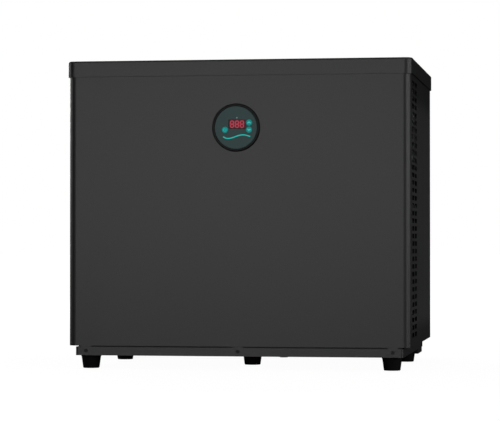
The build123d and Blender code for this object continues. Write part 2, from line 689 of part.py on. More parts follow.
DISTRIBUTOR_BOTTOM = 344.0
DISTRIBUTOR_TOP = 378.0
CAPILLARY_XS = (176.0, 181.0, 186.0)
with BuildPart() as liquid_distributor:
    post(DISTRIBUTOR_X, TUBE_ROWS[0], 10.0, DISTRIBUTOR_BOTTOM, DISTRIBUTOR_TOP)
    middle = (DISTRIBUTOR_BOTTOM + DISTRIBUTOR_TOP) / 2
    for side, tube_indices in ((-1, (9, 5, 1)), (1, (13, 17, 21))):
        for order, (capillary_x, tube_index) in enumerate(zip(CAPILLARY_XS, tube_indices)):
            start_z = middle + side * (4 + 4 * order)
            end_z = TUBE_HEIGHTS[tube_index]
            pipe(
                [
                    (DISTRIBUTOR_X - 6, TUBE_ROWS[0], start_z),
                    (capillary_x, TUBE_ROWS[0], start_z),
                    (capillary_x, TUBE_ROWS[0], end_z),
                    (TUBE_END + 0.2, TUBE_ROWS[0], end_z),
                ],
                radius=1.6,
                bend=5.0,
            )
save(liquid_distributor, "liquid_distributor")


# ---------------------------------------- air side: fan
BLADE_STATIONS = ((38.0, 74.0, 38.0, 0.0), (125.0, 135.0, 29.0, 7.0), (222.0, 175.0, 22.0, 16.0))
BLADE_THICKNESS = 5.0

with BuildPart() as fan_blades:
    for blade in range(BLADE_COUNT):
        for radius, chord, pitch, sweep_angle in BLADE_STATIONS:
            around = radians(blade * 360 / BLADE_COUNT + sweep_angle + 90)
            outward = Vector(cos(around), 0, sin(around))
            tangent = Vector(-sin(around), 0, cos(around))
            station = Plane(
                origin=Vector(FAN_X, at_depth((FAN_FRONT + FAN_BACK) / 2), FAN_Z) + outward * radius,
                x_dir=tangent * cos(radians(pitch)) + Vector(0, sin(radians(pitch)), 0),
                z_dir=outward,
            )
            with BuildSketch(station):
                Ellipse(chord / 2, BLADE_THICKNESS / 2)
        loft()
    bar(FAN_X, FAN_Z, FAN_RADIUS, FAN_FRONT - BEYOND, FAN_BACK + BEYOND, mode=Mode.INTERSECT)
    bar(FAN_X, FAN_Z, HUB_RADIUS, FAN_FRONT, FAN_BACK)
    bar(FAN_X, FAN_Z, HUB_RADIUS - 4, FAN_FRONT - BEYOND, FAN_BACK - 5, mode=Mode.SUBTRACT)
    bar(FAN_X, FAN_Z, 14.0, FAN_FRONT, FAN_BACK)
    bar(FAN_X, FAN_Z, SHAFT_RADIUS + 0.1, FAN_FRONT - BEYOND, FAN_BACK + BEYOND, mode=Mode.SUBTRACT)
save(fan_blades, "fan_blades")

with BuildPart() as fan_nut:
    hexagon(FAN_X, FAN_Z, 10.5, FAN_BACK + 2, FAN_BACK + 12)
    bar(FAN_X, FAN_Z, 16.0, FAN_BACK, FAN_BACK + 2)
    bar(FAN_X, FAN_Z, SHAFT_RADIUS + 0.05, FAN_BACK - 1, FAN_BACK + 20, mode=Mode.SUBTRACT)
save(fan_nut, "fan_nut")

BRACKET_FRONT = 345.0
MOTOR_FRONT = 359.0
MOTOR_BACK = 440.0
MOTOR_BOSS_BACK = 453.0
SHAFT_FRONT = MOTOR_FRONT + 26.0
MOTOR_RADIUS = 52.0
MOTOR_BOSS_RADIUS = 24.0
MOTOR_FLANGE = 112.0
MOTOR_FLANGE_THICKNESS = 6.0
MOTOR_RIBS = 18

with BuildPart() as motor_shaft:
    bar(FAN_X, FAN_Z, SHAFT_RADIUS, SHAFT_FRONT, FAN_BACK + 16)
    chamfer(motor_shaft.edges().filter_by(GeomType.CIRCLE), 0.8)
save(motor_shaft, "motor_shaft")

with BuildPart() as fan_motor:
    bar(FAN_X, FAN_Z, MOTOR_RADIUS, MOTOR_FRONT + MOTOR_FLANGE_THICKNESS, MOTOR_BACK)
    fillet(fan_motor.faces().sort_by(Axis.Y)[-1].edges(), 8.0)
    bar(FAN_X, FAN_Z, MOTOR_BOSS_RADIUS, MOTOR_BACK - 1, MOTOR_BOSS_BACK)
    with BuildSketch(facing(MOTOR_FRONT + MOTOR_FLANGE_THICKNESS)):
        with Locations((FAN_X, FAN_Z)):
            RectangleRounded(MOTOR_FLANGE, MOTOR_FLANGE, 12)
    extrude(amount=MOTOR_FLANGE_THICKNESS)
    with BuildSketch(facing(MOTOR_BACK - 14)):
        with Locations((FAN_X, FAN_Z)):
            with PolarLocations(MOTOR_RADIUS - 1, MOTOR_RIBS):
                Rectangle(5, 2.4)
    extrude(amount=50)
    bar(FAN_X, FAN_Z, SHAFT_RADIUS + 0.06, SHAFT_FRONT - 1, MOTOR_BOSS_BACK + 1, mode=Mode.SUBTRACT)
save(fan_motor, "fan_motor")

BRACKET_SPREAD = 45.0
BRACKET_HALF_WIDTH = 12.0
BRACKET_SHEET = 2.0
BRACKET_INNER = BRACKET_HALF_WIDTH - BRACKET_SHEET
with BuildPart() as motor_bracket:
    for rail_x in (FAN_X - BRACKET_SPREAD, FAN_X + BRACKET_SPREAD):
        block(
            (rail_x - BRACKET_HALF_WIDTH, rail_x + BRACKET_HALF_WIDTH),
            (BRACKET_FRONT, MOTOR_FRONT),
            (PAN_FLOOR, CASE_TOP - 3),
        )
        block(
            (rail_x - BRACKET_INNER, rail_x + BRACKET_INNER),
            (BRACKET_FRONT - 1, MOTOR_FRONT - BRACKET_SHEET),
            (PAN_FLOOR - 1, CASE_TOP),
            mode=Mode.SUBTRACT,
        )
    for plate_z in (FAN_Z - BRACKET_SPREAD, FAN_Z + BRACKET_SPREAD):
        block(
            (FAN_X - BRACKET_SPREAD - 10, FAN_X + BRACKET_SPREAD + 10),
            (MOTOR_FRONT - BRACKET_SHEET, MOTOR_FRONT),
            (plate_z - BRACKET_HALF_WIDTH, plate_z + BRACKET_HALF_WIDTH),
        )
save(motor_bracket, "motor_bracket")

SHROUD_FRONT = CASE_BACK - 72.0
SHROUD_BACK = CASE_BACK - SHEET - 0.2
SHROUD_WALL = 2.5
SHROUD_FLANGE = 12.0
MOUTH = 14.0
with BuildPart() as fan_shroud:
    with BuildSketch(Plane(origin=(FAN_X, at_depth(0), FAN_Z))):
        with BuildLine():
            inner = Line((SHROUD_RADIUS, SHROUD_BACK), (SHROUD_RADIUS, SHROUD_FRONT + MOUTH))
            mouth = RadiusArc(inner @ 1, (SHROUD_RADIUS + MOUTH, SHROUD_FRONT), -MOUTH)
            edge = Line(mouth @ 1, (SHROUD_RADIUS + MOUTH + SHROUD_WALL, SHROUD_FRONT))
            outer = RadiusArc(edge @ 1, (SHROUD_RADIUS + SHROUD_WALL, SHROUD_FRONT + MOUTH), MOUTH)
            Polyline(
                outer @ 1,
                (SHROUD_RADIUS + SHROUD_WALL, SHROUD_BACK - SHROUD_WALL),
                (SHROUD_RADIUS + SHROUD_FLANGE, SHROUD_BACK - SHROUD_WALL),
                (SHROUD_RADIUS + SHROUD_FLANGE, SHROUD_BACK),
                (SHROUD_RADIUS, SHROUD_BACK),
            )
        make_face()
    revolve(axis=Axis((FAN_X, 0, FAN_Z), (0, 1, 0)))
save(fan_shroud, "fan_shroud")

GUARD_WIRE = 1.5
GUARD_SPOKE = 2.2
GUARD_STEP = 13.0
GUARD_SPOKES = 8
GUARD_PLANE = CASE_BACK + 8.0
GUARD_SPOKE_START = 30.0
GUARD_DISC = 36.0
GUARD_EAR_RADIUS = 8.0
GUARD_LEG = 2.6
with BuildPart() as fan_guard:
    for spoke in range(GUARD_SPOKES):
        around = radians(spoke * 360 / GUARD_SPOKES + 22.5)
        outward = Vector(cos(around), 0, sin(around))
        start = Vector(FAN_X, at_depth(GUARD_PLANE - 2.5), FAN_Z) + outward * GUARD_SPOKE_START
        with BuildSketch(Plane(origin=start, z_dir=outward)):
            Circle(GUARD_SPOKE)
        extrude(amount=GUARD_RADIUS - GUARD_SPOKE_START)
    ring_radius = GUARD_RADIUS
    while ring_radius > GUARD_DISC:
        with Locations(Location((FAN_X, at_depth(GUARD_PLANE), FAN_Z), (90, 0, 0))):
            Torus(ring_radius, GUARD_WIRE)
        ring_radius -= GUARD_STEP
    bar(FAN_X, FAN_Z, GUARD_DISC, GUARD_PLANE - 3, GUARD_PLANE + GUARD_WIRE)
    for ear_x, ear_z in GUARD_SCREWS:
        bar(ear_x, ear_z, GUARD_EAR_RADIUS, CASE_BACK, CASE_BACK + GUARD_EAR)
        leg_x = FAN_X + (ear_x - FAN_X) * GUARD_RADIUS / GUARD_EAR_CIRCLE
        leg_z = FAN_Z + (ear_z - FAN_Z) * GUARD_RADIUS / GUARD_EAR_CIRCLE
        bar(leg_x, leg_z, GUARD_LEG, CASE_BACK, GUARD_PLANE)
    for ear_x, ear_z in GUARD_SCREWS:
        bar(ear_x, ear_z, SCREW_HOLE, CASE_BACK - 1, CASE_BACK + 4, mode=Mode.SUBTRACT)
save(fan_guard, "fan_guard")


# ---------------------------------------- refrigerant side: compressor
COMPRESSOR_FEET = [
    (
        COMPRESSOR_X + COMPRESSOR_FOOT_CIRCLE * cos(radians(angle)),
        COMPRESSOR_DEPTH + COMPRESSOR_FOOT_CIRCLE * sin(radians(angle)),
    )
    for angle in COMPRESSOR_FOOT_ANGLES
]
EAR_HOLE = 9.2
EAR_WIDTH = 34.0
WELD_SEAM = (190.0, 202.0)

with BuildPart() as compressor:
    post(COMPRESSOR_X, COMPRESSOR_DEPTH, COMPRESSOR_RADIUS, COMPRESSOR_PLATE[0], COMPRESSOR_TOP)
    fillet(compressor.edges().filter_by(GeomType.CIRCLE), 18.0)
    post(COMPRESSOR_X, COMPRESSOR_DEPTH, COMPRESSOR_RADIUS + 1.5, *WELD_SEAM)
    with BuildSketch(Plane(origin=(COMPRESSOR_X, at_depth(COMPRESSOR_DEPTH), COMPRESSOR_PLATE[0]))):
        Circle(COMPRESSOR_RADIUS - 6)
        for angle in COMPRESSOR_FOOT_ANGLES:
            with Locations(Location((0, 0, 0), (0, 0, angle))):
                SlotCenterPoint((COMPRESSOR_FOOT_CIRCLE / 2, 0), (COMPRESSOR_FOOT_CIRCLE, 0), EAR_WIDTH)
    extrude(amount=COMPRESSOR_PLATE[1] - COMPRESSOR_PLATE[0])
    for ear_x, ear_depth in COMPRESSOR_FEET:
        post(ear_x, ear_depth, EAR_HOLE, 50, 63, mode=Mode.SUBTRACT)
save(compressor, "compressor")

GROMMET_TOP = COMPRESSOR_PLATE[1] + 5.0
WASHER_TOP = GROMMET_TOP + 1.5
with BuildPart() as compressor_grommets:
    for ear_x, ear_depth in COMPRESSOR_FEET:
        post(ear_x, ear_depth, 14.0, PAN_FLOOR, COMPRESSOR_PLATE[0])
        post(ear_x, ear_depth, EAR_HOLE - 0.2, COMPRESSOR_PLATE[0], COMPRESSOR_PLATE[1])
        post(ear_x, ear_depth, 12.5, COMPRESSOR_PLATE[1], GROMMET_TOP)
    for ear_x, ear_depth in COMPRESSOR_FEET:
        post(ear_x, ear_depth, BOLT_RADIUS + 0.2, 0, GROMMET_TOP + 1, mode=Mode.SUBTRACT)
save(compressor_grommets, "compressor_grommets")

with BuildPart() as compressor_bolts:
    for ear_x, ear_depth in COMPRESSOR_FEET:
        post(ear_x, ear_depth, BOLT_RADIUS, PAN_FLOOR, WASHER_TOP + NUT_HEIGHT + 1)
        post(ear_x, ear_depth, 11.0, GROMMET_TOP, WASHER_TOP)
        with BuildSketch(Plane.XY.offset(WASHER_TOP)):
            with Locations((ear_x, at_depth(ear_depth))):
                RegularPolygon(HEX_RADIUS, 6)
        extrude(amount=NUT_HEIGHT)
save(compressor_bolts, "compressor_bolts")

ACCUMULATOR_BOTTOM = 120.0
ACCUMULATOR_TOP = 300.0
ACCUMULATOR_RADIUS = 30.0
INLET_HEIGHT = 92.0
with BuildPart() as compressor_accumulator:
    post(ACCUMULATOR_X, COMPRESSOR_DEPTH, ACCUMULATOR_RADIUS, ACCUMULATOR_BOTTOM, ACCUMULATOR_TOP)
    fillet(compressor_accumulator.edges().filter_by(GeomType.CIRCLE), 14.0)
    pipe(
        [
            (ACCUMULATOR_X, COMPRESSOR_DEPTH, ACCUMULATOR_BOTTOM + 5),
            (ACCUMULATOR_X, COMPRESSOR_DEPTH, INLET_HEIGHT),
            (COMPRESSOR_X + COMPRESSOR_RADIUS + 0.2, COMPRESSOR_DEPTH, INLET_HEIGHT),
        ],
        radius=8.0,
        bend=15.0,
    )
save(compressor_accumulator, "compressor_accumulator")

with BuildPart() as compressor_terminal_cover:
    rounded_block((216, 264), (248, 284), (COMPRESSOR_TOP + 0.2, COMPRESSOR_TOP + 26), 8.0)
    fillet(compressor_terminal_cover.faces().sort_by(Axis.Z)[-1].edges(), 5.0)
save(compressor_terminal_cover, "compressor_terminal_cover")


# ---------------------------------------- water side: exchanger and unions
SHELL_WALL = 5.0
PORT_RADIUS = 30.0
PORT_COLLAR = 35.0
PORT_BORE = 22.0
PORT_END = CASE_BACK + 22.8
SHELL_BAND = EXCHANGER_RADIUS + 6.0
RISER_HOLE = COIL_TUBE + 0.6

with BuildPart() as exchanger_shell:
    post(EXCHANGER_X, EXCHANGER_DEPTH, EXCHANGER_RADIUS, EXCHANGER_BOTTOM, EXCHANGER_TOP)
    post(EXCHANGER_X, EXCHANGER_DEPTH, SHELL_BAND, PAN_FLOOR, EXCHANGER_BOTTOM + 8)
    post(EXCHANGER_X, EXCHANGER_DEPTH, SHELL_BAND, EXCHANGER_TOP - 18, EXCHANGER_TOP)
    fillet(exchanger_shell.faces().sort_by(Axis.Z)[-1].edges(), 6.0)
    for port_z in WATER_PORT_HEIGHTS.values():
        bar(EXCHANGER_X, port_z, PORT_RADIUS, EXCHANGER_DEPTH, PORT_END)
        bar(EXCHANGER_X, port_z, PORT_COLLAR, CASE_BACK + 7, PORT_END)
    post(
        EXCHANGER_X,
        EXCHANGER_DEPTH,
        EXCHANGER_RADIUS - SHELL_WALL,
        EXCHANGER_BOTTOM + 6,
        EXCHANGER_TOP - 8,
        mode=Mode.SUBTRACT,
    )
    for port_z in WATER_PORT_HEIGHTS.values():
        bar(EXCHANGER_X, port_z, PORT_BORE, EXCHANGER_DEPTH, PORT_END + 1, mode=Mode.SUBTRACT)
    for riser_x in (EXCHANGER_X - COIL_TURN_RADIUS, EXCHANGER_X + COIL_TURN_RADIUS):
        post(riser_x, EXCHANGER_DEPTH, RISER_HOLE, EXCHANGER_TOP - 20, EXCHANGER_TOP + 5, mode=Mode.SUBTRACT)
save(exchanger_shell, "exchanger_shell")

COIL_LOW = 70.0
COIL_PITCH = 22.0
COIL_HEIGHT = COIL_PITCH * 10.5
with BuildPart() as exchanger_coil:
    with BuildLine(Plane(origin=(EXCHANGER_X, at_depth(EXCHANGER_DEPTH), COIL_LOW))) as helix:
        Helix(COIL_PITCH, COIL_HEIGHT, COIL_TURN_RADIUS)
    with BuildSketch(Plane(origin=helix.wire() @ 0, z_dir=helix.wire() % 0)):
        Circle(COIL_TUBE)
    sweep(path=helix.wire(), is_frenet=True)
    for end in (helix.wire() @ 0, helix.wire() @ 1):
        with Locations(end):
            Sphere(COIL_TUBE + 0.2)
        with BuildSketch(Plane(origin=end)):
            Circle(COIL_TUBE)
        extrude(amount=RISER_TOP - end.Z)
save(exchanger_coil, "exchanger_coil")

for union_name, port_z in WATER_PORT_HEIGHTS.items():
    with BuildPart() as union:
        bar(EXCHANGER_X, port_z, PORT_COLLAR - 1, PORT_END + 0.3, PORT_END + 5)
        bar(EXCHANGER_X, port_z, PORT_RADIUS, PORT_END + 5, UNION_END)
        chamfer(union.faces().sort_by(Axis.Y)[-1].edges(), 1.0)
        bar(EXCHANGER_X, port_z, PORT_BORE, PORT_END, UNION_END + 1, mode=Mode.SUBTRACT)
        bar(EXCHANGER_X, port_z, SOCKET_RADIUS, UNION_END - SOCKET_LENGTH, UNION_END + 1, mode=Mode.SUBTRACT)
    save(union, union_name)

NUT_FRONT = CASE_BACK + 8.8
NUT_BACK = CASE_BACK + 34.8
NUT_RADIUS = 42.0
NUT_RIBS = 12
with BuildPart() as union_nuts:
    for port_z in WATER_PORT_HEIGHTS.values():
        bar(EXCHANGER_X, port_z, NUT_RADIUS, NUT_FRONT, NUT_BACK)
        with BuildSketch(facing(NUT_BACK - 4)):
            with Locations((EXCHANGER_X, port_z)):
                with PolarLocations(NUT_RADIUS, NUT_RIBS):
                    Circle(4.0)
        extrude(amount=NUT_BACK - NUT_FRONT - 8)
    for port_z in WATER_PORT_HEIGHTS.values():
        bar(EXCHANGER_X, port_z, PORT_COLLAR + 0.4, NUT_FRONT - 1, PORT_END + 5.3, mode=Mode.SUBTRACT)
        bar(EXCHANGER_X, port_z, PORT_RADIUS + 0.4, NUT_FRONT, NUT_BACK + 1, mode=Mode.SUBTRACT)
save(union_nuts, "union_nuts")


# ---------------------------------------- refrigerant side: valves, drier and pipes
VALVE_PORTS = (-22.0, 0.0, 22.0)
VALVE_LENGTH = 104.0
VALVE_NECK_TOP = VALVE_Z + 21.0
STUB_END = 388.0
with BuildPart() as four_way_valve:
    valve_left_end = (VALVE_X - VALVE_LENGTH / 2, at_depth(TUBE_ROWS[1]), VALVE_Z)
    with BuildSketch(Plane(origin=valve_left_end, z_dir=(1, 0, 0))):
        Circle(14.0)
    extrude(amount=VALVE_LENGTH)
    fillet(four_way_valve.edges().filter_by(GeomType.CIRCLE), 3.0)
    post(VALVE_X, TUBE_ROWS[1], 7.5, VALVE_Z, VALVE_NECK_TOP)
    for port_x in VALVE_PORTS:
        post(VALVE_X + port_x, TUBE_ROWS[1], 8.5, STUB_END, VALVE_Z)
    bar(VALVE_X - 20, VALVE_Z, 9.0, TUBE_ROWS[1] - 32, TUBE_ROWS[1])
save(four_way_valve, "four_way_valve")

with BuildPart() as expansion_valve:
    post(DISTRIBUTOR_X, TUBE_ROWS[0], 11.0, EXPANSION_BOTTOM, EXPANSION_TOP)
    post(DISTRIBUTOR_X, TUBE_ROWS[0], 13.5, EXPANSION_BOTTOM + 12, EXPANSION_TOP - 12)
    motor_start = (DISTRIBUTOR_X, at_depth(TUBE_ROWS[0]), (EXPANSION_BOTTOM + EXPANSION_TOP) / 2)
    with BuildSketch(Plane(origin=motor_start, z_dir=(1, 0, 0))):
        Circle(9.0)
    extrude(amount=32)
save(expansion_valve, "expansion_valve")

DRIER_BOTTOM = 200.0
DRIER_TOP = 290.0
DRIER_STUB = 12.0
with BuildPart() as filter_drier:
    post(DRIER_X, DRIER_DEPTH, 20.0, DRIER_BOTTOM, DRIER_TOP)
    chamfer(filter_drier.edges().filter_by(GeomType.CIRCLE), 9.0)
    post(DRIER_X, DRIER_DEPTH, 7.0, DRIER_BOTTOM - DRIER_STUB, DRIER_TOP + DRIER_STUB)
save(filter_drier, "filter_drier")

with BuildPart() as gas_pipes:
    # Discharge, from the compressor's top to the valve's top
    pipe(
        [
            (COMPRESSOR_X, COMPRESSOR_DEPTH, COMPRESSOR_TOP + 0.2),
            (COMPRESSOR_X, COMPRESSOR_DEPTH, 452),
            (COMPRESSOR_X, TUBE_ROWS[1], 452),
            (COMPRESSOR_X, TUBE_ROWS[1], VALVE_NECK_TOP + 0.2),
        ],
        radius=6.5,
        bend=12.0,
    )
    # Suction, from the valve's middle port to the accumulator
    pipe(
        [
            (VALVE_X, TUBE_ROWS[1], STUB_END - 0.2),
            (VALVE_X, TUBE_ROWS[1], 345),
            (ACCUMULATOR_X, TUBE_ROWS[1], 345),
            (ACCUMULATOR_X, COMPRESSOR_DEPTH, 345),
            (ACCUMULATOR_X, COMPRESSOR_DEPTH, ACCUMULATOR_TOP + 0.2),
        ],
        radius=8.0,
        bend=18.0,
    )
    # Valve to the heat exchanger
    pipe(
        [
            (VALVE_X + VALVE_PORTS[2], TUBE_ROWS[1], STUB_END - 0.2),
            (VALVE_X + VALVE_PORTS[2], TUBE_ROWS[1], 374),
            (375, TUBE_ROWS[1], 374),
            (375, EXCHANGER_DEPTH, 374),
            (EXCHANGER_X + COIL_TURN_RADIUS, EXCHANGER_DEPTH, 374),
            (EXCHANGER_X + COIL_TURN_RADIUS, EXCHANGER_DEPTH, RISER_TOP + 0.2),
        ],
        radius=6.5,
        bend=12.0,
    )
    # Valve to the evaporator's header
    pipe(
        [
            (VALVE_X + VALVE_PORTS[0], TUBE_ROWS[1], STUB_END - 0.2),
            (VALVE_X + VALVE_PORTS[0], TUBE_ROWS[1], 360),
            (HEADER_X + HEADER_RADIUS + 0.2, TUBE_ROWS[1], 360),
        ],
        radius=8.0,
        bend=15.0,
    )
save(gas_pipes, "gas_pipes")

with BuildPart() as liquid_pipes:
    # Heat exchanger to the filter drier
    pipe(
        [
            (EXCHANGER_X - COIL_TURN_RADIUS, EXCHANGER_DEPTH, RISER_TOP + 0.2),
            (EXCHANGER_X - COIL_TURN_RADIUS, EXCHANGER_DEPTH, 385),
            (DRIER_X, EXCHANGER_DEPTH, 385),
            (DRIER_X, DRIER_DEPTH, 385),
            (DRIER_X, DRIER_DEPTH, DRIER_TOP + DRIER_STUB + 0.2),
        ],
        radius=6.0,
        bend=14.0,
    )
    # Filter drier to the expansion valve, between the header and the compressor
    pipe(
        [
            (DRIER_X, DRIER_DEPTH, DRIER_BOTTOM - DRIER_STUB - 0.2),
            (DRIER_X, DRIER_DEPTH, 120),
            (DRIER_X, 262, 120),
            (DISTRIBUTOR_X, 238, 120),
            (DISTRIBUTOR_X, TUBE_ROWS[0], 120),
            (DISTRIBUTOR_X, TUBE_ROWS[0], EXPANSION_BOTTOM - 0.2),
        ],
        radius=6.0,
        bend=12.0,
    )
    # Expansion valve to the distributor
    post(DISTRIBUTOR_X, TUBE_ROWS[0], 6.0, EXPANSION_TOP + 0.2, DISTRIBUTOR_BOTTOM - 0.2)
save(liquid_pipes, "liquid_pipes")


# ---------------------------------------- electric box
with BuildPart() as electric_box:
    block((BOX_LEFT, BOX_RIGHT), (BOX_FRONT, BOX_BACK), (BOX_BOTTOM, BOX_TOP))
    block(
        (BOX_LEFT + SHEET, BOX_RIGHT - SHEET),
        (BOX_FRONT + SHEET, BOX_BACK - SHEET),
        (BOX_BOTTOM + SHEET, BOX_TOP + 1),
        mode=Mode.SUBTRACT,
    )
    for hole_x, hole_z in GLAND_PLACES:
        bar(hole_x, hole_z, 9.0, BOX_BACK - 4, BOX_BACK + 1, mode=Mode.SUBTRACT)
save(electric_box, "electric_box")

COVER_SKIRT = 12.0
COVER_GAP = 0.3
COVER_OUT = COVER_GAP + SHEET
with BuildPart() as electric_box_cover:
    block(
        (BOX_LEFT, BOX_RIGHT + COVER_OUT),
        (BOX_FRONT - COVER_OUT, BOX_BACK + COVER_OUT),
        (BOX_TOP - COVER_SKIRT, BOX_TOP + COVER_OUT),
    )
    block(
        (BOX_LEFT - 1, BOX_RIGHT + COVER_GAP),
        (BOX_FRONT - COVER_GAP, BOX_BACK + COVER_GAP),
        (BOX_TOP - COVER_SKIRT - 1, BOX_TOP + COVER_GAP),
        mode=Mode.SUBTRACT,
    )
save(electric_box_cover, "electric_box_cover")

BOARD_LOW = BOX_BOTTOM + 12.0
BOARD_HIGH = BOARD_LOW + BOARD_THICKNESS
BOARD_XS = (175.0, 365.0)
BOARD_DEPTHS = (260.0, 470.0)
CAPACITOR_X = 200.0
CAPACITOR_DEPTHS = (300.0, 336.0, 372.0)
RELAY_XS = (250.0, 278.0, 306.0, 334.0)
SINK_LEFT = 322.0
SINK_DEPTHS = (275.0, 400.0)
SINK_FINS = 8
SINK_PITCH = 5.0
SINK_FIN = 2.0
SINK_BASE = 4.0
with BuildPart() as main_board:
    block(BOARD_XS, BOARD_DEPTHS, (BOARD_LOW, BOARD_HIGH))
    for capacitor_depth in CAPACITOR_DEPTHS:
        post(CAPACITOR_X, capacitor_depth, 15.0, BOARD_HIGH, BOARD_HIGH + 46)
    # Choke
    block((240, 300), (280, 340), (BOARD_HIGH, BOARD_HIGH + 34))
    for relay_x in RELAY_XS:
        block((relay_x - 10, relay_x + 10), (430, 458), (BOARD_HIGH, BOARD_HIGH + 18))
    # Finned heat sink
    sink_right = SINK_LEFT + (SINK_FINS - 1) * SINK_PITCH + SINK_FIN
    block((SINK_LEFT, sink_right), SINK_DEPTHS, (BOARD_HIGH, BOARD_HIGH + SINK_BASE))
    for fin in range(SINK_FINS):
        fin_left = SINK_LEFT + fin * SINK_PITCH
        block((fin_left, fin_left + SINK_FIN), SINK_DEPTHS, (BOARD_HIGH + SINK_BASE, BOARD_HIGH + 44))
    # Corner spacers
    for spacer_x in (BOARD_XS[0] + 8, BOARD_XS[1] - 8):
        for spacer_depth in (BOARD_DEPTHS[0] + 8, BOARD_DEPTHS[1] - 8):
            post(spacer_x, spacer_depth, 4.0, BOX_BOTTOM + SHEET, BOARD_LOW)
save(main_board, "main_board")

POLES = 6
POLE_PITCH = 20.0
POLE_DEPTHS = (503.0, 517.0)
TERMINAL_LEFT = 250.0
TERMINAL_RIGHT = TERMINAL_LEFT + POLES * POLE_PITCH
TERMINAL_DEPTHS = (495.0, 525.0)
TERMINAL_TOP = BOX_BOTTOM + 26.0
TERMINAL_RIB = 1.0
with BuildPart() as terminal_block:
    block((TERMINAL_LEFT, TERMINAL_RIGHT), TERMINAL_DEPTHS, (BOX_BOTTOM + SHEET, TERMINAL_TOP))
    for pole in range(POLES):
        for pole_depth in POLE_DEPTHS:
            pole_x = TERMINAL_LEFT + (pole + 0.5) * POLE_PITCH
            post(pole_x, pole_depth, 4.0, TERMINAL_TOP - 6, TERMINAL_TOP + 1, mode=Mode.SUBTRACT)
    for rib in range(POLES + 1):
        rib_x = TERMINAL_LEFT + rib * POLE_PITCH
        block(
            (rib_x - TERMINAL_RIB, rib_x + TERMINAL_RIB),
            TERMINAL_DEPTHS,
            (TERMINAL_TOP - 6, TERMINAL_TOP + 6),
        )
save(terminal_block, "terminal_block")

GLAND_HEX = 14.0
GLAND_HEX_BACK = CASE_BACK + 6.0
GLAND_CAP = 12.0
GLAND_END = CASE_BACK + 22.0
GLAND_THREAD_START = CASE_BACK - 10.0
with BuildPart() as cable_glands:
    for gland_x, gland_z in GLAND_PLACES:
        hexagon(gland_x, gland_z, GLAND_HEX, CASE_BACK, GLAND_HEX_BACK)
        bar(gland_x, gland_z, GLAND_CAP, GLAND_HEX_BACK, GLAND_END)
        bar(gland_x, gland_z, GLAND_HOLE - 0.2, GLAND_THREAD_START, GLAND_HEX_BACK)
    for gland_x, gland_z in GLAND_PLACES:
        bar(gland_x, gland_z, GLAND_BORE, GLAND_THREAD_START - 1, GLAND_END + 1, mode=Mode.SUBTRACT)
save(cable_glands, "cable_glands")
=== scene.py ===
"""Looks of the pool heat pump: materials, small detail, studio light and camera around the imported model.

Metres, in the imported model's frame: X to the right seen from the front, Y to the back, Z up from the floor.
"""

import json
from math import cos, pi, radians, sin

import bmesh
import bpy
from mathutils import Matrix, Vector


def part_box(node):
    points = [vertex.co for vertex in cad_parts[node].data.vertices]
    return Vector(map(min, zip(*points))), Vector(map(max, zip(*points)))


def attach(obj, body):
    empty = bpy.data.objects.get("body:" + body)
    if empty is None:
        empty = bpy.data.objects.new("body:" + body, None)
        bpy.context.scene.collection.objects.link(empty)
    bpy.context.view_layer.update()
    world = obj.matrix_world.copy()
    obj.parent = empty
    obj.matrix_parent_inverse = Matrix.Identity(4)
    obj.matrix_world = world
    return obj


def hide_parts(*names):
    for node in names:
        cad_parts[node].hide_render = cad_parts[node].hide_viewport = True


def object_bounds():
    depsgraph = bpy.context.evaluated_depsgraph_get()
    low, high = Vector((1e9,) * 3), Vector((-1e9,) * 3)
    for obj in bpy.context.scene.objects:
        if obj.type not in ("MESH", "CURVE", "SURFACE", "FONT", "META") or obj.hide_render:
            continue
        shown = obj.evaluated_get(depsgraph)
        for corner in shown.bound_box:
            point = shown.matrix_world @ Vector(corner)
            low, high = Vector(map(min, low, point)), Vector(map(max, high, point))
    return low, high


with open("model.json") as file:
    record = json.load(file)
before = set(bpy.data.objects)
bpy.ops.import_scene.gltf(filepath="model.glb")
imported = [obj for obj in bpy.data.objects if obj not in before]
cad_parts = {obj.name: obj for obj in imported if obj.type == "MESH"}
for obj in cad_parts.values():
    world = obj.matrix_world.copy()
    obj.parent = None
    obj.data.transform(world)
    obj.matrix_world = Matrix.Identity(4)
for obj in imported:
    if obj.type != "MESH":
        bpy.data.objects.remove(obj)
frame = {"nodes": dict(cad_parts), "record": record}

cad_low, cad_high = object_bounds()
scene = bpy.context.scene
MM = 0.001

# ---------------------------------------------------------------- driving values: camera and light
CAMERA_DISTANCE = 4.8832
CAMERA_X = 0.8001
CAMERA_HEIGHT = 0.2941
CAMERA_YAW = 8.9738
CAMERA_PITCH = 0.8072
CAMERA_LENS = 156.0126
FLOOR_HALF = 40.0
FLOOR_NEAR_GLOW = 0.97
FLOOR_FAR_GLOW = 1.05
WORLD_LIGHT = 0.012

# ---------------------------------------------------------------- driving values: controller's front
DIGIT_COUNT = 3
DIGIT_STEP = 11.6 * MM
DIGIT_HALF_WIDTH = 3.7 * MM
DIGIT_HALF_HEIGHT = 7.2 * MM
SEGMENT_WIDTH = 2.7 * MM
PRINT_PROUD = 0.12 * MM
LAMP_X = 2.2 * MM
LAMP_Z = 22.3 * MM
LAMP_RADIUS = 1.6 * MM
CHEVRON_WIDTH = 2.2 * MM
POWER_SIGN_RADIUS = 3.3 * MM
POWER_SIGN_WIDTH = 1.0 * MM

# ---------------------------------------------------------------- driving values: wave line
WAVE_START_X = -29.6 * MM
WAVE_TROUGH_X = -19.1 * MM
WAVE_CREST_X = 16.2 * MM
WAVE_END_X = 33.1 * MM
WAVE_MIDDLE_Z = -20.95 * MM
WAVE_RISE = 4.05 * MM
WAVE_WIDTH = 2.6 * MM
WAVE_STEPS = 64

# ---------------------------------------------------------------- driving values: evaporator fins
FIN_PITCH = 2.2 * MM
FIN_THICKNESS = 0.25 * MM
FIN_WAVES = 6
FIN_WAVE_HEIGHT = 0.5 * MM

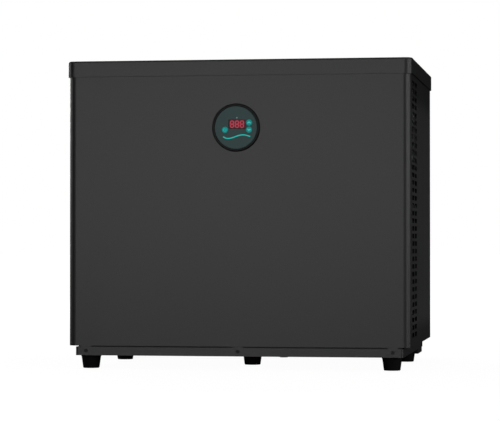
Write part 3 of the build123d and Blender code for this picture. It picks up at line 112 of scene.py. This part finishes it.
# ---------------------------------------------------------------- colours, linear
COAT_DARK = (0.0092, 0.0092, 0.0094)
COAT_LIGHT = (0.0115, 0.0115, 0.0117)
COAT_WORN = (0.035, 0.035, 0.036)
DUST = (0.16, 0.15, 0.135)
TEAL = (0.008, 0.30, 0.29)
TEAL_PALE = (0.12, 0.70, 0.64)
DIGIT_RED = (0.7, 0.085, 0.13)


# ---------------------------------------------------------------- node graph helpers
def start_material(name):
    """New material, with its node tree, its Principled shader and the object's own coordinates."""
    material = bpy.data.materials.new(name)
    material.use_nodes = True
    tree = material.node_tree
    place = tree.nodes.new("ShaderNodeTexCoord").outputs["Object"]
    return material, tree, tree.nodes["Principled BSDF"], place


def feed(tree, socket, value):
    """Joins an output to the socket, or sets a plain number or colour on it."""
    if isinstance(value, bpy.types.NodeSocket):
        tree.links.new(value, socket)
    elif isinstance(value, tuple):
        socket.default_value = (*value, 1.0)
    else:
        socket.default_value = value


def noise(tree, place, scale, detail=2.0, stretch=(1.0, 1.0, 1.0)):
    """Cloudy noise from 0 to 1; stretch squeezes it along X, Y and Z."""
    mapping = tree.nodes.new("ShaderNodeMapping")
    mapping.inputs["Scale"].default_value = stretch
    tree.links.new(place, mapping.inputs["Vector"])
    node = tree.nodes.new("ShaderNodeTexNoise")
    node.inputs["Scale"].default_value = scale
    node.inputs["Detail"].default_value = detail
    tree.links.new(mapping.outputs["Vector"], node.inputs["Vector"])
    return node.outputs["Fac"]


def cells(tree, place, scale):
    """Flat random cells from 0 to 1, as zinc spangle has."""
    node = tree.nodes.new("ShaderNodeTexVoronoi")
    node.inputs["Scale"].default_value = scale
    tree.links.new(place, node.inputs["Vector"])
    split = tree.nodes.new("ShaderNodeSeparateColor")
    tree.links.new(node.outputs["Color"], split.inputs["Color"])
    return split.outputs["Red"]


def remap(tree, value, old, new):
    """Stretches a value from one range to another, held inside the new range."""
    node = tree.nodes.new("ShaderNodeMapRange")
    tree.links.new(value, node.inputs["Value"])
    for socket, number in zip(("From Min", "From Max", "To Min", "To Max"), (*old, *new)):
        node.inputs[socket].default_value = number
    return node.outputs["Result"]


def mix(tree, factor, first, second):
    """Colour between two colours."""
    node = tree.nodes.new("ShaderNodeMix")
    node.data_type = "RGBA"
    tree.links.new(factor, node.inputs["Factor"])
    feed(tree, node.inputs[6], first)
    feed(tree, node.inputs[7], second)
    return node.outputs[2]


def bump(tree, height, depth, normal=None):
    """Normal raised by a height from 0 to 1 over this depth in metres."""
    node = tree.nodes.new("ShaderNodeBump")
    node.inputs["Strength"].default_value = 1.0
    node.inputs["Distance"].default_value = depth
    tree.links.new(height, node.inputs["Height"])
    if normal is not None:
        tree.links.new(normal, node.inputs["Normal"])
    return node.outputs["Normal"]


def edge_mask(tree, radius):
    """1 on sharp edges and 0 elsewhere, with the rounded normal that shows them."""
    rounded = tree.nodes.new("ShaderNodeBevel")
    rounded.samples = 4
    rounded.inputs["Radius"].default_value = radius
    geometry = tree.nodes.new("ShaderNodeNewGeometry")
    dot = tree.nodes.new("ShaderNodeVectorMath")
    dot.operation = "DOT_PRODUCT"
    tree.links.new(rounded.outputs["Normal"], dot.inputs[0])
    tree.links.new(geometry.outputs["Normal"], dot.inputs[1])
    return remap(tree, dot.outputs["Value"], (0.99, 0.85), (0.0, 1.0)), rounded.outputs["Normal"]


def facing_up(tree):
    """1 where the surface faces the sky."""
    geometry = tree.nodes.new("ShaderNodeNewGeometry")
    split = tree.nodes.new("ShaderNodeSeparateXYZ")
    tree.links.new(geometry.outputs["Normal"], split.inputs["Vector"])
    return remap(tree, split.outputs["Z"], (0.8, 1.0), (0.0, 1.0))


def multiply(tree, first, second):
    """Product of two values, each an output or a number."""
    node = tree.nodes.new("ShaderNodeMath")
    node.operation = "MULTIPLY"
    feed(tree, node.inputs[0], first)
    feed(tree, node.inputs[1], second)
    return node.outputs["Value"]


# ---------------------------------------------------------------- materials: case
def powder_coat(name, dusty):
    """Fine-textured dark powder coat, slightly rubbed on its edges and dusty on top."""
    material, tree, shader, place = start_material(name)
    clouds = noise(tree, place, 5.0, 3.0)
    grain = noise(tree, place, 1400.0, 2.0)
    paint = mix(tree, clouds, COAT_DARK, COAT_LIGHT)
    speckle = remap(tree, grain, (0.62, 0.78), (0.0, 0.25))
    paint = mix(tree, speckle, paint, COAT_WORN)
    edges, rounded = edge_mask(tree, 0.5 * MM)
    rubbed = multiply(tree, edges, remap(tree, noise(tree, place, 60.0, 4.0), (0.45, 0.75), (0.05, 0.6)))
    paint = mix(tree, rubbed, paint, COAT_WORN)
    if dusty:
        settled = remap(tree, noise(tree, place, 9.0, 6.0), (0.35, 0.75), (0.0, 0.22))
        paint = mix(tree, multiply(tree, facing_up(tree), settled), paint, DUST)
    feed(tree, shader.inputs["Base Color"], paint)
    feed(tree, shader.inputs["Roughness"], remap(tree, grain, (0.3, 0.7), (0.36, 0.46)))
    feed(tree, shader.inputs["Specular IOR Level"], 0.25)
    feed(tree, shader.inputs["Normal"], bump(tree, grain, 0.05 * MM, rounded))
    return material


# ---------------------------------------------------------------- materials: plastics and rubber
def moulded(name, dark, light, roughness, grain_scale, grain_depth, specular=0.35, coat=0.0):
    """Moulded plastic or rubber with a fine moulded grain and slightly pale, rubbed edges."""
    material, tree, shader, place = start_material(name)
    clouds = noise(tree, place, 14.0, 4.0)
    grain = noise(tree, place, grain_scale, 3.0)
    edges, rounded = edge_mask(tree, 0.4 * MM)
    body = mix(tree, clouds, dark, light)
    pale = tuple(min(1.0, channel * 1.8 + 0.01) for channel in light)
    body = mix(tree, multiply(tree, edges, clouds), body, pale)
    feed(tree, shader.inputs["Base Color"], body)
    feed(tree, shader.inputs["Roughness"], remap(tree, grain, (0.3, 0.7), roughness))
    feed(tree, shader.inputs["Specular IOR Level"], specular)
    feed(tree, shader.inputs["Coat Weight"], coat)
    feed(tree, shader.inputs["Normal"], bump(tree, grain, grain_depth, rounded))
    return material


def glowing(name, dark, light, strength):
    """Back-lit translucent plastic, brighter in the middle of its cloudy fill."""
    material, tree, shader, place = start_material(name)
    clouds = noise(tree, place, 260.0, 2.0)
    colour = mix(tree, clouds, dark, light)
    feed(tree, shader.inputs["Base Color"], colour)
    feed(tree, shader.inputs["Emission Color"], colour)
    feed(tree, shader.inputs["Emission Strength"], strength)
    feed(tree, shader.inputs["Roughness"], remap(tree, clouds, (0.3, 0.7), (0.4, 0.55)))
    feed(tree, shader.inputs["Specular IOR Level"], 0.08)
    feed(tree, shader.inputs["Normal"], bump(tree, clouds, 0.02 * MM))
    return material


def smoked_lens(name):
    """Dark smoked acrylic, a little green, with faint haze and hairline scratches."""
    material, tree, shader, place = start_material(name)
    haze = noise(tree, place, 40.0, 3.0)
    scratches = noise(tree, place, 300.0, 2.0, (1.0, 1.0, 14.0))
    feed(tree, shader.inputs["Base Color"], mix(tree, haze, (0.036, 0.066, 0.066), (0.043, 0.075, 0.075)))
    feed(tree, shader.inputs["Roughness"], remap(tree, scratches, (0.5, 0.8), (0.36, 0.5)))
    feed(tree, shader.inputs["Specular IOR Level"], 0.06)
    feed(tree, shader.inputs["Normal"], bump(tree, scratches, 0.004 * MM))
    return material


# ---------------------------------------------------------------- materials: metals
def drawn_metal(name, dark, light, roughness, stretch, tarnish=None):
    """Bare metal with fine draw lines and cloudy tarnish."""
    material, tree, shader, place = start_material(name)
    lines = noise(tree, place, 90.0, 4.0, stretch)
    clouds = noise(tree, place, 22.0, 5.0)
    colour = mix(tree, lines, dark, light)
    if tarnish:
        colour = mix(tree, remap(tree, clouds, (0.45, 0.75), (0.0, 0.8)), colour, tarnish)
    feed(tree, shader.inputs["Base Color"], colour)
    feed(tree, shader.inputs["Metallic"], 1.0)
    feed(tree, shader.inputs["Roughness"], remap(tree, clouds, (0.3, 0.7), roughness))
    edges, rounded = edge_mask(tree, 0.3 * MM)
    feed(tree, shader.inputs["Normal"], bump(tree, lines, 0.02 * MM, rounded))
    return material


def galvanised(name):
    """Zinc-coated sheet with its spangle."""
    material, tree, shader, place = start_material(name)
    spangle = cells(tree, place, 110.0)
    clouds = noise(tree, place, 12.0, 4.0)
    colour = mix(tree, spangle, (0.36, 0.38, 0.39), (0.56, 0.58, 0.6))
    colour = mix(tree, remap(tree, clouds, (0.5, 0.8), (0.0, 0.5)), colour, (0.3, 0.31, 0.31))
    feed(tree, shader.inputs["Base Color"], colour)
    feed(tree, shader.inputs["Metallic"], 0.9)
    feed(tree, shader.inputs["Roughness"], remap(tree, spangle, (0.0, 1.0), (0.34, 0.55)))
    edges, rounded = edge_mask(tree, 0.3 * MM)
    feed(tree, shader.inputs["Normal"], bump(tree, spangle, 0.015 * MM, rounded))
    return material


def glossy_paint(name, dark, light, rust):
    """Sprayed gloss paint with orange peel and a little rust at the edges."""
    material, tree, shader, place = start_material(name)
    peel = noise(tree, place, 420.0, 1.0)
    clouds = noise(tree, place, 18.0, 5.0)
    edges, rounded = edge_mask(tree, 0.8 * MM)
    colour = mix(tree, clouds, dark, light)
    chipped = multiply(tree, edges, remap(tree, clouds, (0.5, 0.62), (0.0, 1.0)))
    feed(tree, shader.inputs["Base Color"], mix(tree, chipped, colour, rust))
    feed(tree, shader.inputs["Roughness"], remap(tree, clouds, (0.3, 0.7), (0.24, 0.4)))
    feed(tree, shader.inputs["Normal"], bump(tree, peel, 0.03 * MM, rounded))
    return material


# ---------------------------------------------------------------- materials: circuit board
def circuit_board(name):
    """Green solder mask with paler copper traces under it."""
    material, tree, shader, place = start_material(name)
    traces = tree.nodes.new("ShaderNodeTexBrick")
    traces.inputs["Scale"].default_value = 90.0
    traces.inputs["Mortar Size"].default_value = 0.04
    traces.inputs["Color1"].default_value = (0.006, 0.06, 0.028, 1.0)
    traces.inputs["Color2"].default_value = (0.009, 0.085, 0.035, 1.0)
    traces.inputs["Mortar"].default_value = (0.03, 0.2, 0.09, 1.0)
    tree.links.new(place, traces.inputs["Vector"])
    clouds = noise(tree, place, 30.0, 3.0)
    uneven = remap(tree, clouds, (0.4, 0.7), (0.0, 0.5))
    colour = mix(tree, uneven, traces.outputs["Color"], (0.008, 0.07, 0.03))
    feed(tree, shader.inputs["Base Color"], colour)
    feed(tree, shader.inputs["Roughness"], remap(tree, clouds, (0.3, 0.7), (0.3, 0.45)))
    feed(tree, shader.inputs["Normal"], bump(tree, traces.outputs["Fac"], 0.03 * MM))
    return material


MATERIALS = {
    "case_steel": powder_coat("case_steel", dusty=True),
    "base_steel": powder_coat("base_steel", dusty=False),
    "seal_rubber": moulded(
        "seal_rubber", (0.006, 0.006, 0.006), (0.012, 0.012, 0.012), (0.75, 0.95), 900.0, 0.12 * MM
    ),
    "foot_rubber": moulded(
        "foot_rubber", (0.0015, 0.0015, 0.0015), (0.003, 0.003, 0.003), (0.6, 0.8), 700.0, 0.08 * MM, 0.06
    ),
    "zinc_steel": drawn_metal(
        "zinc_steel", (0.5, 0.5, 0.49), (0.66, 0.66, 0.64), (0.28, 0.42), (1, 1, 6), (0.36, 0.35, 0.32)
    ),
    "black_plastic": moulded(
        "black_plastic", (0.011, 0.011, 0.011), (0.018, 0.018, 0.018), (0.45, 0.6), 800.0, 0.06 * MM
    ),
    "black_screw": moulded(
        "black_screw", (0.004, 0.004, 0.004), (0.008, 0.008, 0.008), (0.5, 0.62), 900.0, 0.03 * MM, 0.2
    ),
    "bezel_plastic": moulded(
        "bezel_plastic", (0.0015, 0.0015, 0.0015), (0.003, 0.003, 0.003), (0.4, 0.5), 900.0, 0.03 * MM, 0.1
    ),
    "lens_plastic": smoked_lens("lens_plastic"),
    "circuit_board": circuit_board("circuit_board"),
    "display_red": glowing("display_red", (0.55, 0.05, 0.08), DIGIT_RED, 0.12),
    "button_teal": glowing("button_teal", (0.006, 0.25, 0.24), TEAL, 0.17),
    "galvanised_steel": galvanised("galvanised_steel"),
    "coil_aluminium": drawn_metal(
        "coil_aluminium", (0.1, 0.28, 0.45), (0.2, 0.42, 0.6), (0.35, 0.5), (1, 8, 1)
    ),
    "copper": drawn_metal(
        "copper", (0.62, 0.27, 0.14), (0.78, 0.4, 0.24), (0.2, 0.4), (1, 1, 5), (0.34, 0.15, 0.08)
    ),
    "fan_plastic": moulded(
        "fan_plastic", (0.012, 0.012, 0.013), (0.02, 0.02, 0.021), (0.4, 0.55), 500.0, 0.08 * MM
    ),
    "motor_steel": glossy_paint(
        "motor_steel", (0.03, 0.03, 0.034), (0.045, 0.045, 0.05), (0.16, 0.15, 0.14)
    ),
    "guard_wire": glossy_paint("guard_wire", (0.01, 0.01, 0.01), (0.016, 0.016, 0.016), (0.07, 0.06, 0.05)),
    "compressor_steel": glossy_paint(
        "compressor_steel", (0.007, 0.007, 0.007), (0.012, 0.012, 0.012), (0.2, 0.07, 0.03)
    ),
    "exchanger_plastic": moulded(
        "exchanger_plastic", (0.022, 0.023, 0.025), (0.034, 0.035, 0.037), (0.3, 0.42), 300.0, 0.04 * MM
    ),
    "titanium": drawn_metal(
        "titanium", (0.36, 0.35, 0.33), (0.52, 0.5, 0.47), (0.26, 0.4), (1, 1, 4), (0.3, 0.26, 0.3)
    ),
    "union_plastic": moulded(
        "union_plastic", (0.022, 0.023, 0.026), (0.032, 0.033, 0.036), (0.28, 0.4), 400.0, 0.03 * MM, 0.4
    ),
    "brass": drawn_metal(
        "brass", (0.55, 0.38, 0.14), (0.75, 0.56, 0.26), (0.2, 0.34), (1, 5, 1), (0.38, 0.26, 0.1)
    ),
    "terminal_plastic": moulded(
        "terminal_plastic", (0.5, 0.5, 0.45), (0.62, 0.62, 0.57), (0.4, 0.55), 500.0, 0.05 * MM
    ),
}
PRINT_TEAL = glowing("print_teal", (0.01, 0.34, 0.3), (0.015, 0.42, 0.37), 0.7)
PRINT_PALE = glowing("print_pale", (0.1, 0.6, 0.55), TEAL_PALE, 0.22)
WINDOW_DARK = moulded(
    "display_window", (0.13, 0.028, 0.04), (0.16, 0.036, 0.05), (0.4, 0.5), 500.0, 0.01 * MM, 0.05
)
LAMP_GREY = glowing("lamp_grey", (0.1, 0.14, 0.14), (0.13, 0.18, 0.17), 0.8)


# ---------------------------------------------------------------- materials on the CAD nodes
for subpart in frame["record"]["subparts"]:
    node_object = frame["nodes"][subpart["node"]]
    node_object.data.materials.clear()
    node_object.data.materials.append(MATERIALS[subpart["material_slot"]])


# ---------------------------------------------------------------- mesh helpers
def finish_piece(name, mesh_data, material, body, smooth=False):
    """Turns a bmesh into a piece that rides on a CAD body."""
    bmesh.ops.recalc_face_normals(mesh_data, faces=mesh_data.faces)
    mesh = bpy.data.meshes.new(name)
    mesh_data.to_mesh(mesh)
    mesh_data.free()
    mesh.materials.append(material)
    if smooth:
        mesh.shade_smooth()
    piece = bpy.data.objects.new(name, mesh)
    scene.collection.objects.link(piece)
    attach(piece, body)
    return piece


def add_plate(mesh_data, outline, front, back):
    """Flat plate from an outline of (x, z) points, between two y's, with a small chamfer round its front."""
    middle_x = sum(x for x, z in outline) / len(outline)
    middle_z = sum(z for x, z in outline) / len(outline)
    rings = []
    for y, size in ((back, 1.0), (front + (back - front) * 0.4, 1.0), (front, 0.93)):
        ring = [
            mesh_data.verts.new((middle_x + (x - middle_x) * size, y, middle_z + (z - middle_z) * size))
            for x, z in outline
        ]
        rings.append(ring)
    count = len(outline)
    for low_ring, high_ring in zip(rings, rings[1:]):
        for index in range(count):
            after = (index + 1) % count
            mesh_data.faces.new((low_ring[index], low_ring[after], high_ring[after], high_ring[index]))
    mesh_data.faces.new(rings[0])
    mesh_data.faces.new(rings[-1])


def add_ribbon(mesh_data, path, width, front, back):
    """Raised line that follows (x, z) points, with rounded cross-section."""
    rings = []
    for index, (x, z) in enumerate(path):
        before = path[max(index - 1, 0)]
        after = path[min(index + 1, len(path) - 1)]
        along = Vector((after[0] - before[0], after[1] - before[1])).normalized()
        across = Vector((-along.y, along.x)) * width / 2
        crown = front - (back - front) * 0.15
        ring = []
        for share, y in ((-1.0, back), (-0.9, front), (0.0, crown), (0.9, front), (1.0, back)):
            ring.append(mesh_data.verts.new((x + across.x * share, y, z + across.y * share)))
        rings.append(ring)
    for first, second in zip(rings, rings[1:]):
        for index in range(len(first)):
            after = (index + 1) % len(first)
            mesh_data.faces.new((first[index], first[after], second[after], second[index]))
    mesh_data.faces.new(rings[0])
    mesh_data.faces.new(rings[-1])


# ---------------------------------------------------------------- controller: display and its digits
lens_low, lens_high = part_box("controller_lens")
lens_x = (lens_low.x + lens_high.x) / 2
lens_z = (lens_low.z + lens_high.z) / 2
lens_front = lens_low.y
display_low, display_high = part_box("digit_display")
display_x = (display_low.x + display_high.x) / 2
display_z = (display_low.z + display_high.z) / 2


def rounded_outline(low, high, radius, steps=5):
    """Rectangle's outline with round corners, as (x, z) points."""
    corners = (
        (high.x - radius, high.z - radius, 0),
        (low.x + radius, high.z - radius, 90),
        (low.x + radius, low.z + radius, 180),
        (high.x - radius, low.z + radius, 270),
    )
    points = []
    for x, z, start in corners:
        for step in range(steps + 1):
            angle = radians(start + 90 * step / steps)
            points.append((x + radius * cos(angle), z + radius * sin(angle)))
    return points


def segment_outline(x, z, half_length, upright):
    """Long hexagon of one lit segment."""
    half = SEGMENT_WIDTH / 2
    flat = half_length - half
    points = [(-half_length, 0), (-flat, -half), (flat, -half), (half_length, 0), (flat, half), (-flat, half)]
    if upright:
        points = [(-up, along) for along, up in points]
    return [(x + along, z + up) for along, up in points]


SEGMENTS = (
    (0, 1, False),
    (0, 0, False),
    (0, -1, False),
    (-1, 0.5, True),
    (1, 0.5, True),
    (-1, -0.5, True),
    (1, -0.5, True),
)
window_front = lens_front + 0.25 * MM

window = bmesh.new()
add_plate(window, rounded_outline(display_low, display_high, 0.8 * MM), window_front, display_high.y)
window_piece = finish_piece("display_window", window, WINDOW_DARK, "cabinet")
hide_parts("digit_display")

digits = bmesh.new()
for digit in range(DIGIT_COUNT):
    digit_x = display_x + (digit - (DIGIT_COUNT - 1) / 2) * DIGIT_STEP
    for across, up, upright in SEGMENTS:
        reach = (DIGIT_HALF_HEIGHT / 2 if upright else DIGIT_HALF_WIDTH) - 0.15 * MM
        outline = segment_outline(
            digit_x + across * DIGIT_HALF_WIDTH, display_z + up * DIGIT_HALF_HEIGHT, reach, upright
        )
        add_plate(digits, outline, window_front - PRINT_PROUD, window_front + PRINT_PROUD)
finish_piece("display_digits", digits, MATERIALS["display_red"], "cabinet")


# ---------------------------------------------------------------- controller: wave line and lamp
def wave_height(x):
    """Height at x, both from the lens's centre: a cosine through the trough and the crest."""
    if x < WAVE_TROUGH_X:
        phase = pi / 2 * (x - WAVE_TROUGH_X) / (WAVE_TROUGH_X - WAVE_START_X)
    elif x < WAVE_CREST_X:
        phase = pi * (x - WAVE_TROUGH_X) / (WAVE_CREST_X - WAVE_TROUGH_X)
    else:
        phase = pi + pi / 2 * (x - WAVE_CREST_X) / (WAVE_END_X - WAVE_CREST_X)
    return WAVE_MIDDLE_Z - WAVE_RISE * cos(phase)


wave_path = []
for step in range(WAVE_STEPS + 1):
    wave_x = WAVE_START_X + (WAVE_END_X - WAVE_START_X) * step / WAVE_STEPS
    wave_path.append((lens_x + wave_x, lens_z + wave_height(wave_x)))
wave = bmesh.new()
add_ribbon(wave, wave_path, WAVE_WIDTH, lens_front - PRINT_PROUD, lens_front + PRINT_PROUD)
finish_piece("wave_line", wave, PRINT_TEAL, "cabinet", smooth=True)


def disc_outline(x, z, radius, steps=32):
    """Circle as (x, z) points."""
    angles = [2 * pi * step / steps for step in range(steps)]
    return [(x + radius * cos(angle), z + radius * sin(angle)) for angle in angles]


lamp = bmesh.new()
lamp_outline = disc_outline(lens_x + LAMP_X, lens_z + LAMP_Z, LAMP_RADIUS)
add_plate(lamp, lamp_outline, lens_front - PRINT_PROUD, lens_front + PRINT_PROUD)
finish_piece("status_lamp", lamp, LAMP_GREY, "cabinet")


# ---------------------------------------------------------------- controller: icons on the buttons
def button_face(node):
    """Centre x, centre z and front y of a button."""
    low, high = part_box(node)
    return (low.x + high.x) / 2, (low.z + high.z) / 2, low.y


def chevron(node, direction):
    """Arrow head that points up (1) or down (-1)."""
    x, z, front = button_face(node)
    icon = bmesh.new()
    arms = [(-3.6, -1.6), (-1.8, 0.2), (0.0, 1.9), (1.8, 0.2), (3.6, -1.6)]
    path = [(x + across * MM, z + direction * up * MM) for across, up in arms]
    add_ribbon(icon, path, CHEVRON_WIDTH, front - PRINT_PROUD, front + PRINT_PROUD)
    finish_piece(node + "_icon", icon, PRINT_PALE, node)


def power_sign(node):
    """Open ring with an upright bar in its gap."""
    x, z, front = button_face(node)
    icon = bmesh.new()
    ring = [
        (x + POWER_SIGN_RADIUS * sin(radians(angle)), z + POWER_SIGN_RADIUS * cos(radians(angle)))
        for angle in range(40, 321, 10)
    ]
    add_ribbon(icon, ring, POWER_SIGN_WIDTH, front - PRINT_PROUD, front + PRINT_PROUD)
    bar = [(x, z + up * MM) for up in (0.4, 2.2, 4.0)]
    add_ribbon(icon, bar, POWER_SIGN_WIDTH, front - PRINT_PROUD, front + PRINT_PROUD)
    finish_piece(node + "_icon", icon, PRINT_TEAL, node)


power_sign("power_button")
chevron("up_button", 1)
chevron("down_button", -1)


# ---------------------------------------------------------------- evaporator: pack of thin waved fins
fins_low, fins_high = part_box("evaporator_fins")
fins = bmesh.new()
fin_count = int((fins_high.x - fins_low.x - 2 * FIN_WAVE_HEIGHT) / FIN_PITCH)
fin_steps = FIN_WAVES * 2
for fin in range(fin_count + 1):
    fin_x = fins_low.x + FIN_WAVE_HEIGHT + fin * FIN_PITCH
    rows = []
    for step in range(fin_steps + 1):
        y = fins_low.y + (fins_high.y - fins_low.y) * step / fin_steps
        x = fin_x + FIN_WAVE_HEIGHT * (0.5 if step % 2 else -0.5)
        rows.append([
            fins.verts.new((x + side * FIN_THICKNESS / 2, y, z))
            for side in (-1, 1) for z in (fins_low.z, fins_high.z)
        ])
    for (a, b, c, d), (e, f, g, h) in zip(rows, rows[1:]):
        for corners in ((a, b, f, e), (c, g, h, d), (a, e, g, c), (b, d, h, f)):
            fins.faces.new(corners)
    for a, b, c, d in (rows[0], rows[-1]):
        fins.faces.new((a, b, d, c))
fin_piece = finish_piece(
    "evaporator_fin_pack", fins, MATERIALS["coil_aluminium"], "cabinet"
)
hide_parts("evaporator_fins")


# ---------------------------------------------------------------- floor
floor_mesh = bmesh.new()
bmesh.ops.create_grid(floor_mesh, x_segments=2, y_segments=2, size=FLOOR_HALF)
floor_data = bpy.data.meshes.new("floor")
floor_mesh.to_mesh(floor_data)
floor_mesh.free()
floor = bpy.data.objects.new("floor", floor_data)
scene.collection.objects.link(floor)
floor.location.z = cad_low.z
floor_material, floor_tree, floor_shader, floor_place = start_material("pale_floor")
floor_clouds = noise(floor_tree, floor_place, 3.0, 3.0)
floor_paint = mix(floor_tree, floor_clouds, (0.06, 0.06, 0.06), (0.07, 0.07, 0.07))
feed(floor_tree, floor_shader.inputs["Base Color"], floor_paint)
feed(floor_tree, floor_shader.inputs["Roughness"], 0.9)
feed(floor_tree, floor_shader.inputs["Specular IOR Level"], 0.0)
feed(floor_tree, floor_shader.inputs["Emission Color"], (1.0, 1.0, 1.0))
distance = floor_tree.nodes.new("ShaderNodeVectorMath")
distance.operation = "LENGTH"
floor_tree.links.new(floor_place, distance.inputs[0])
glow = remap(floor_tree, distance.outputs["Value"], (1.0, 3.0), (FLOOR_NEAR_GLOW, FLOOR_FAR_GLOW))
ray_kind = floor_tree.nodes.new("ShaderNodeLightPath")
glow = multiply(floor_tree, glow, ray_kind.outputs["Is Camera Ray"])
feed(floor_tree, floor_shader.inputs["Emission Strength"], glow)
floor_data.materials.append(floor_material)


# ---------------------------------------------------------------- world: white to look at, dim as a light
world = bpy.data.worlds.new("studio")
scene.world = world
world.use_nodes = True
world_tree = world.node_tree
world_tree.nodes.clear()
seen = world_tree.nodes.new("ShaderNodeBackground")
seen.inputs["Color"].default_value = (1.0, 1.0, 1.0, 1.0)
seen.inputs["Strength"].default_value = 1.0
lit = world_tree.nodes.new("ShaderNodeBackground")
lit.inputs["Color"].default_value = (1.0, 1.0, 1.0, 1.0)
lit.inputs["Strength"].default_value = WORLD_LIGHT
choose = world_tree.nodes.new("ShaderNodeMixShader")
world_out = world_tree.nodes.new("ShaderNodeOutputWorld")
ray = world_tree.nodes.new("ShaderNodeLightPath")
world_tree.links.new(ray.outputs["Is Camera Ray"], choose.inputs["Fac"])
world_tree.links.new(lit.outputs["Background"], choose.inputs[1])
world_tree.links.new(seen.outputs["Background"], choose.inputs[2])
world_tree.links.new(choose.outputs["Shader"], world_out.inputs["Surface"])


# ---------------------------------------------------------------- lights
def softbox(name, place, target, width, height, power, spread=180.0):
    """Rectangular area light that faces a target; a small spread in degrees gives it a beam's sharp edges."""
    data = bpy.data.lights.new(name, "AREA")
    data.shape = "RECTANGLE"
    data.size = width
    data.size_y = height
    data.energy = power
    data.spread = radians(spread)
    light = bpy.data.objects.new(name, data)
    scene.collection.objects.link(light)
    light.location = place
    light.rotation_euler = (Vector(target) - Vector(place)).to_track_quat("-Z", "Y").to_euler()


middle = (cad_low + cad_high) / 2
softbox("front_softbox", (-1.0, -6.8, 0.55), middle, 4.0, 2.4, 222.0)
softbox("right_softbox", (4.5, -3.4, 1.1), middle, 1.4, 2.0, 90.0)
softbox("right_back_softbox", (5.4, -0.7, 1.1), middle, 1.9, 2.0, 70.0)
softbox("right_grid", (1.67, 2.72, 0.356), (0.4, 0.0, 0.356), 0.6, 0.52, 0.003, 1.0)
softbox("left_softbox", (-5.0, 0.4, 1.4), middle, 1.4, 2.0, 48.0)
softbox("top_softbox", (0.0, 0.3, 3.4), (0.0, 0.0, 0.0), 2.4, 2.4, 30.0)
softbox("rear_softbox", (-2.6, 4.6, 1.8), middle, 2.0, 2.0, 120.0)


# ---------------------------------------------------------------- camera
lid_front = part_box("top_lid")[0].y
camera_data = bpy.data.cameras.new("camera")
camera_data.sensor_width = 36.0
camera_data.lens = CAMERA_LENS
camera_data.clip_end = 200.0
camera = bpy.data.objects.new("camera", camera_data)
scene.collection.objects.link(camera)
camera.location = (CAMERA_X, lid_front - CAMERA_DISTANCE, CAMERA_HEIGHT)
camera.rotation_euler = (radians(90.0 + CAMERA_PITCH), 0.0, radians(CAMERA_YAW))
scene.camera = camera
scene.view_settings.view_transform = "Standard"
scene.view_settings.look = "None"
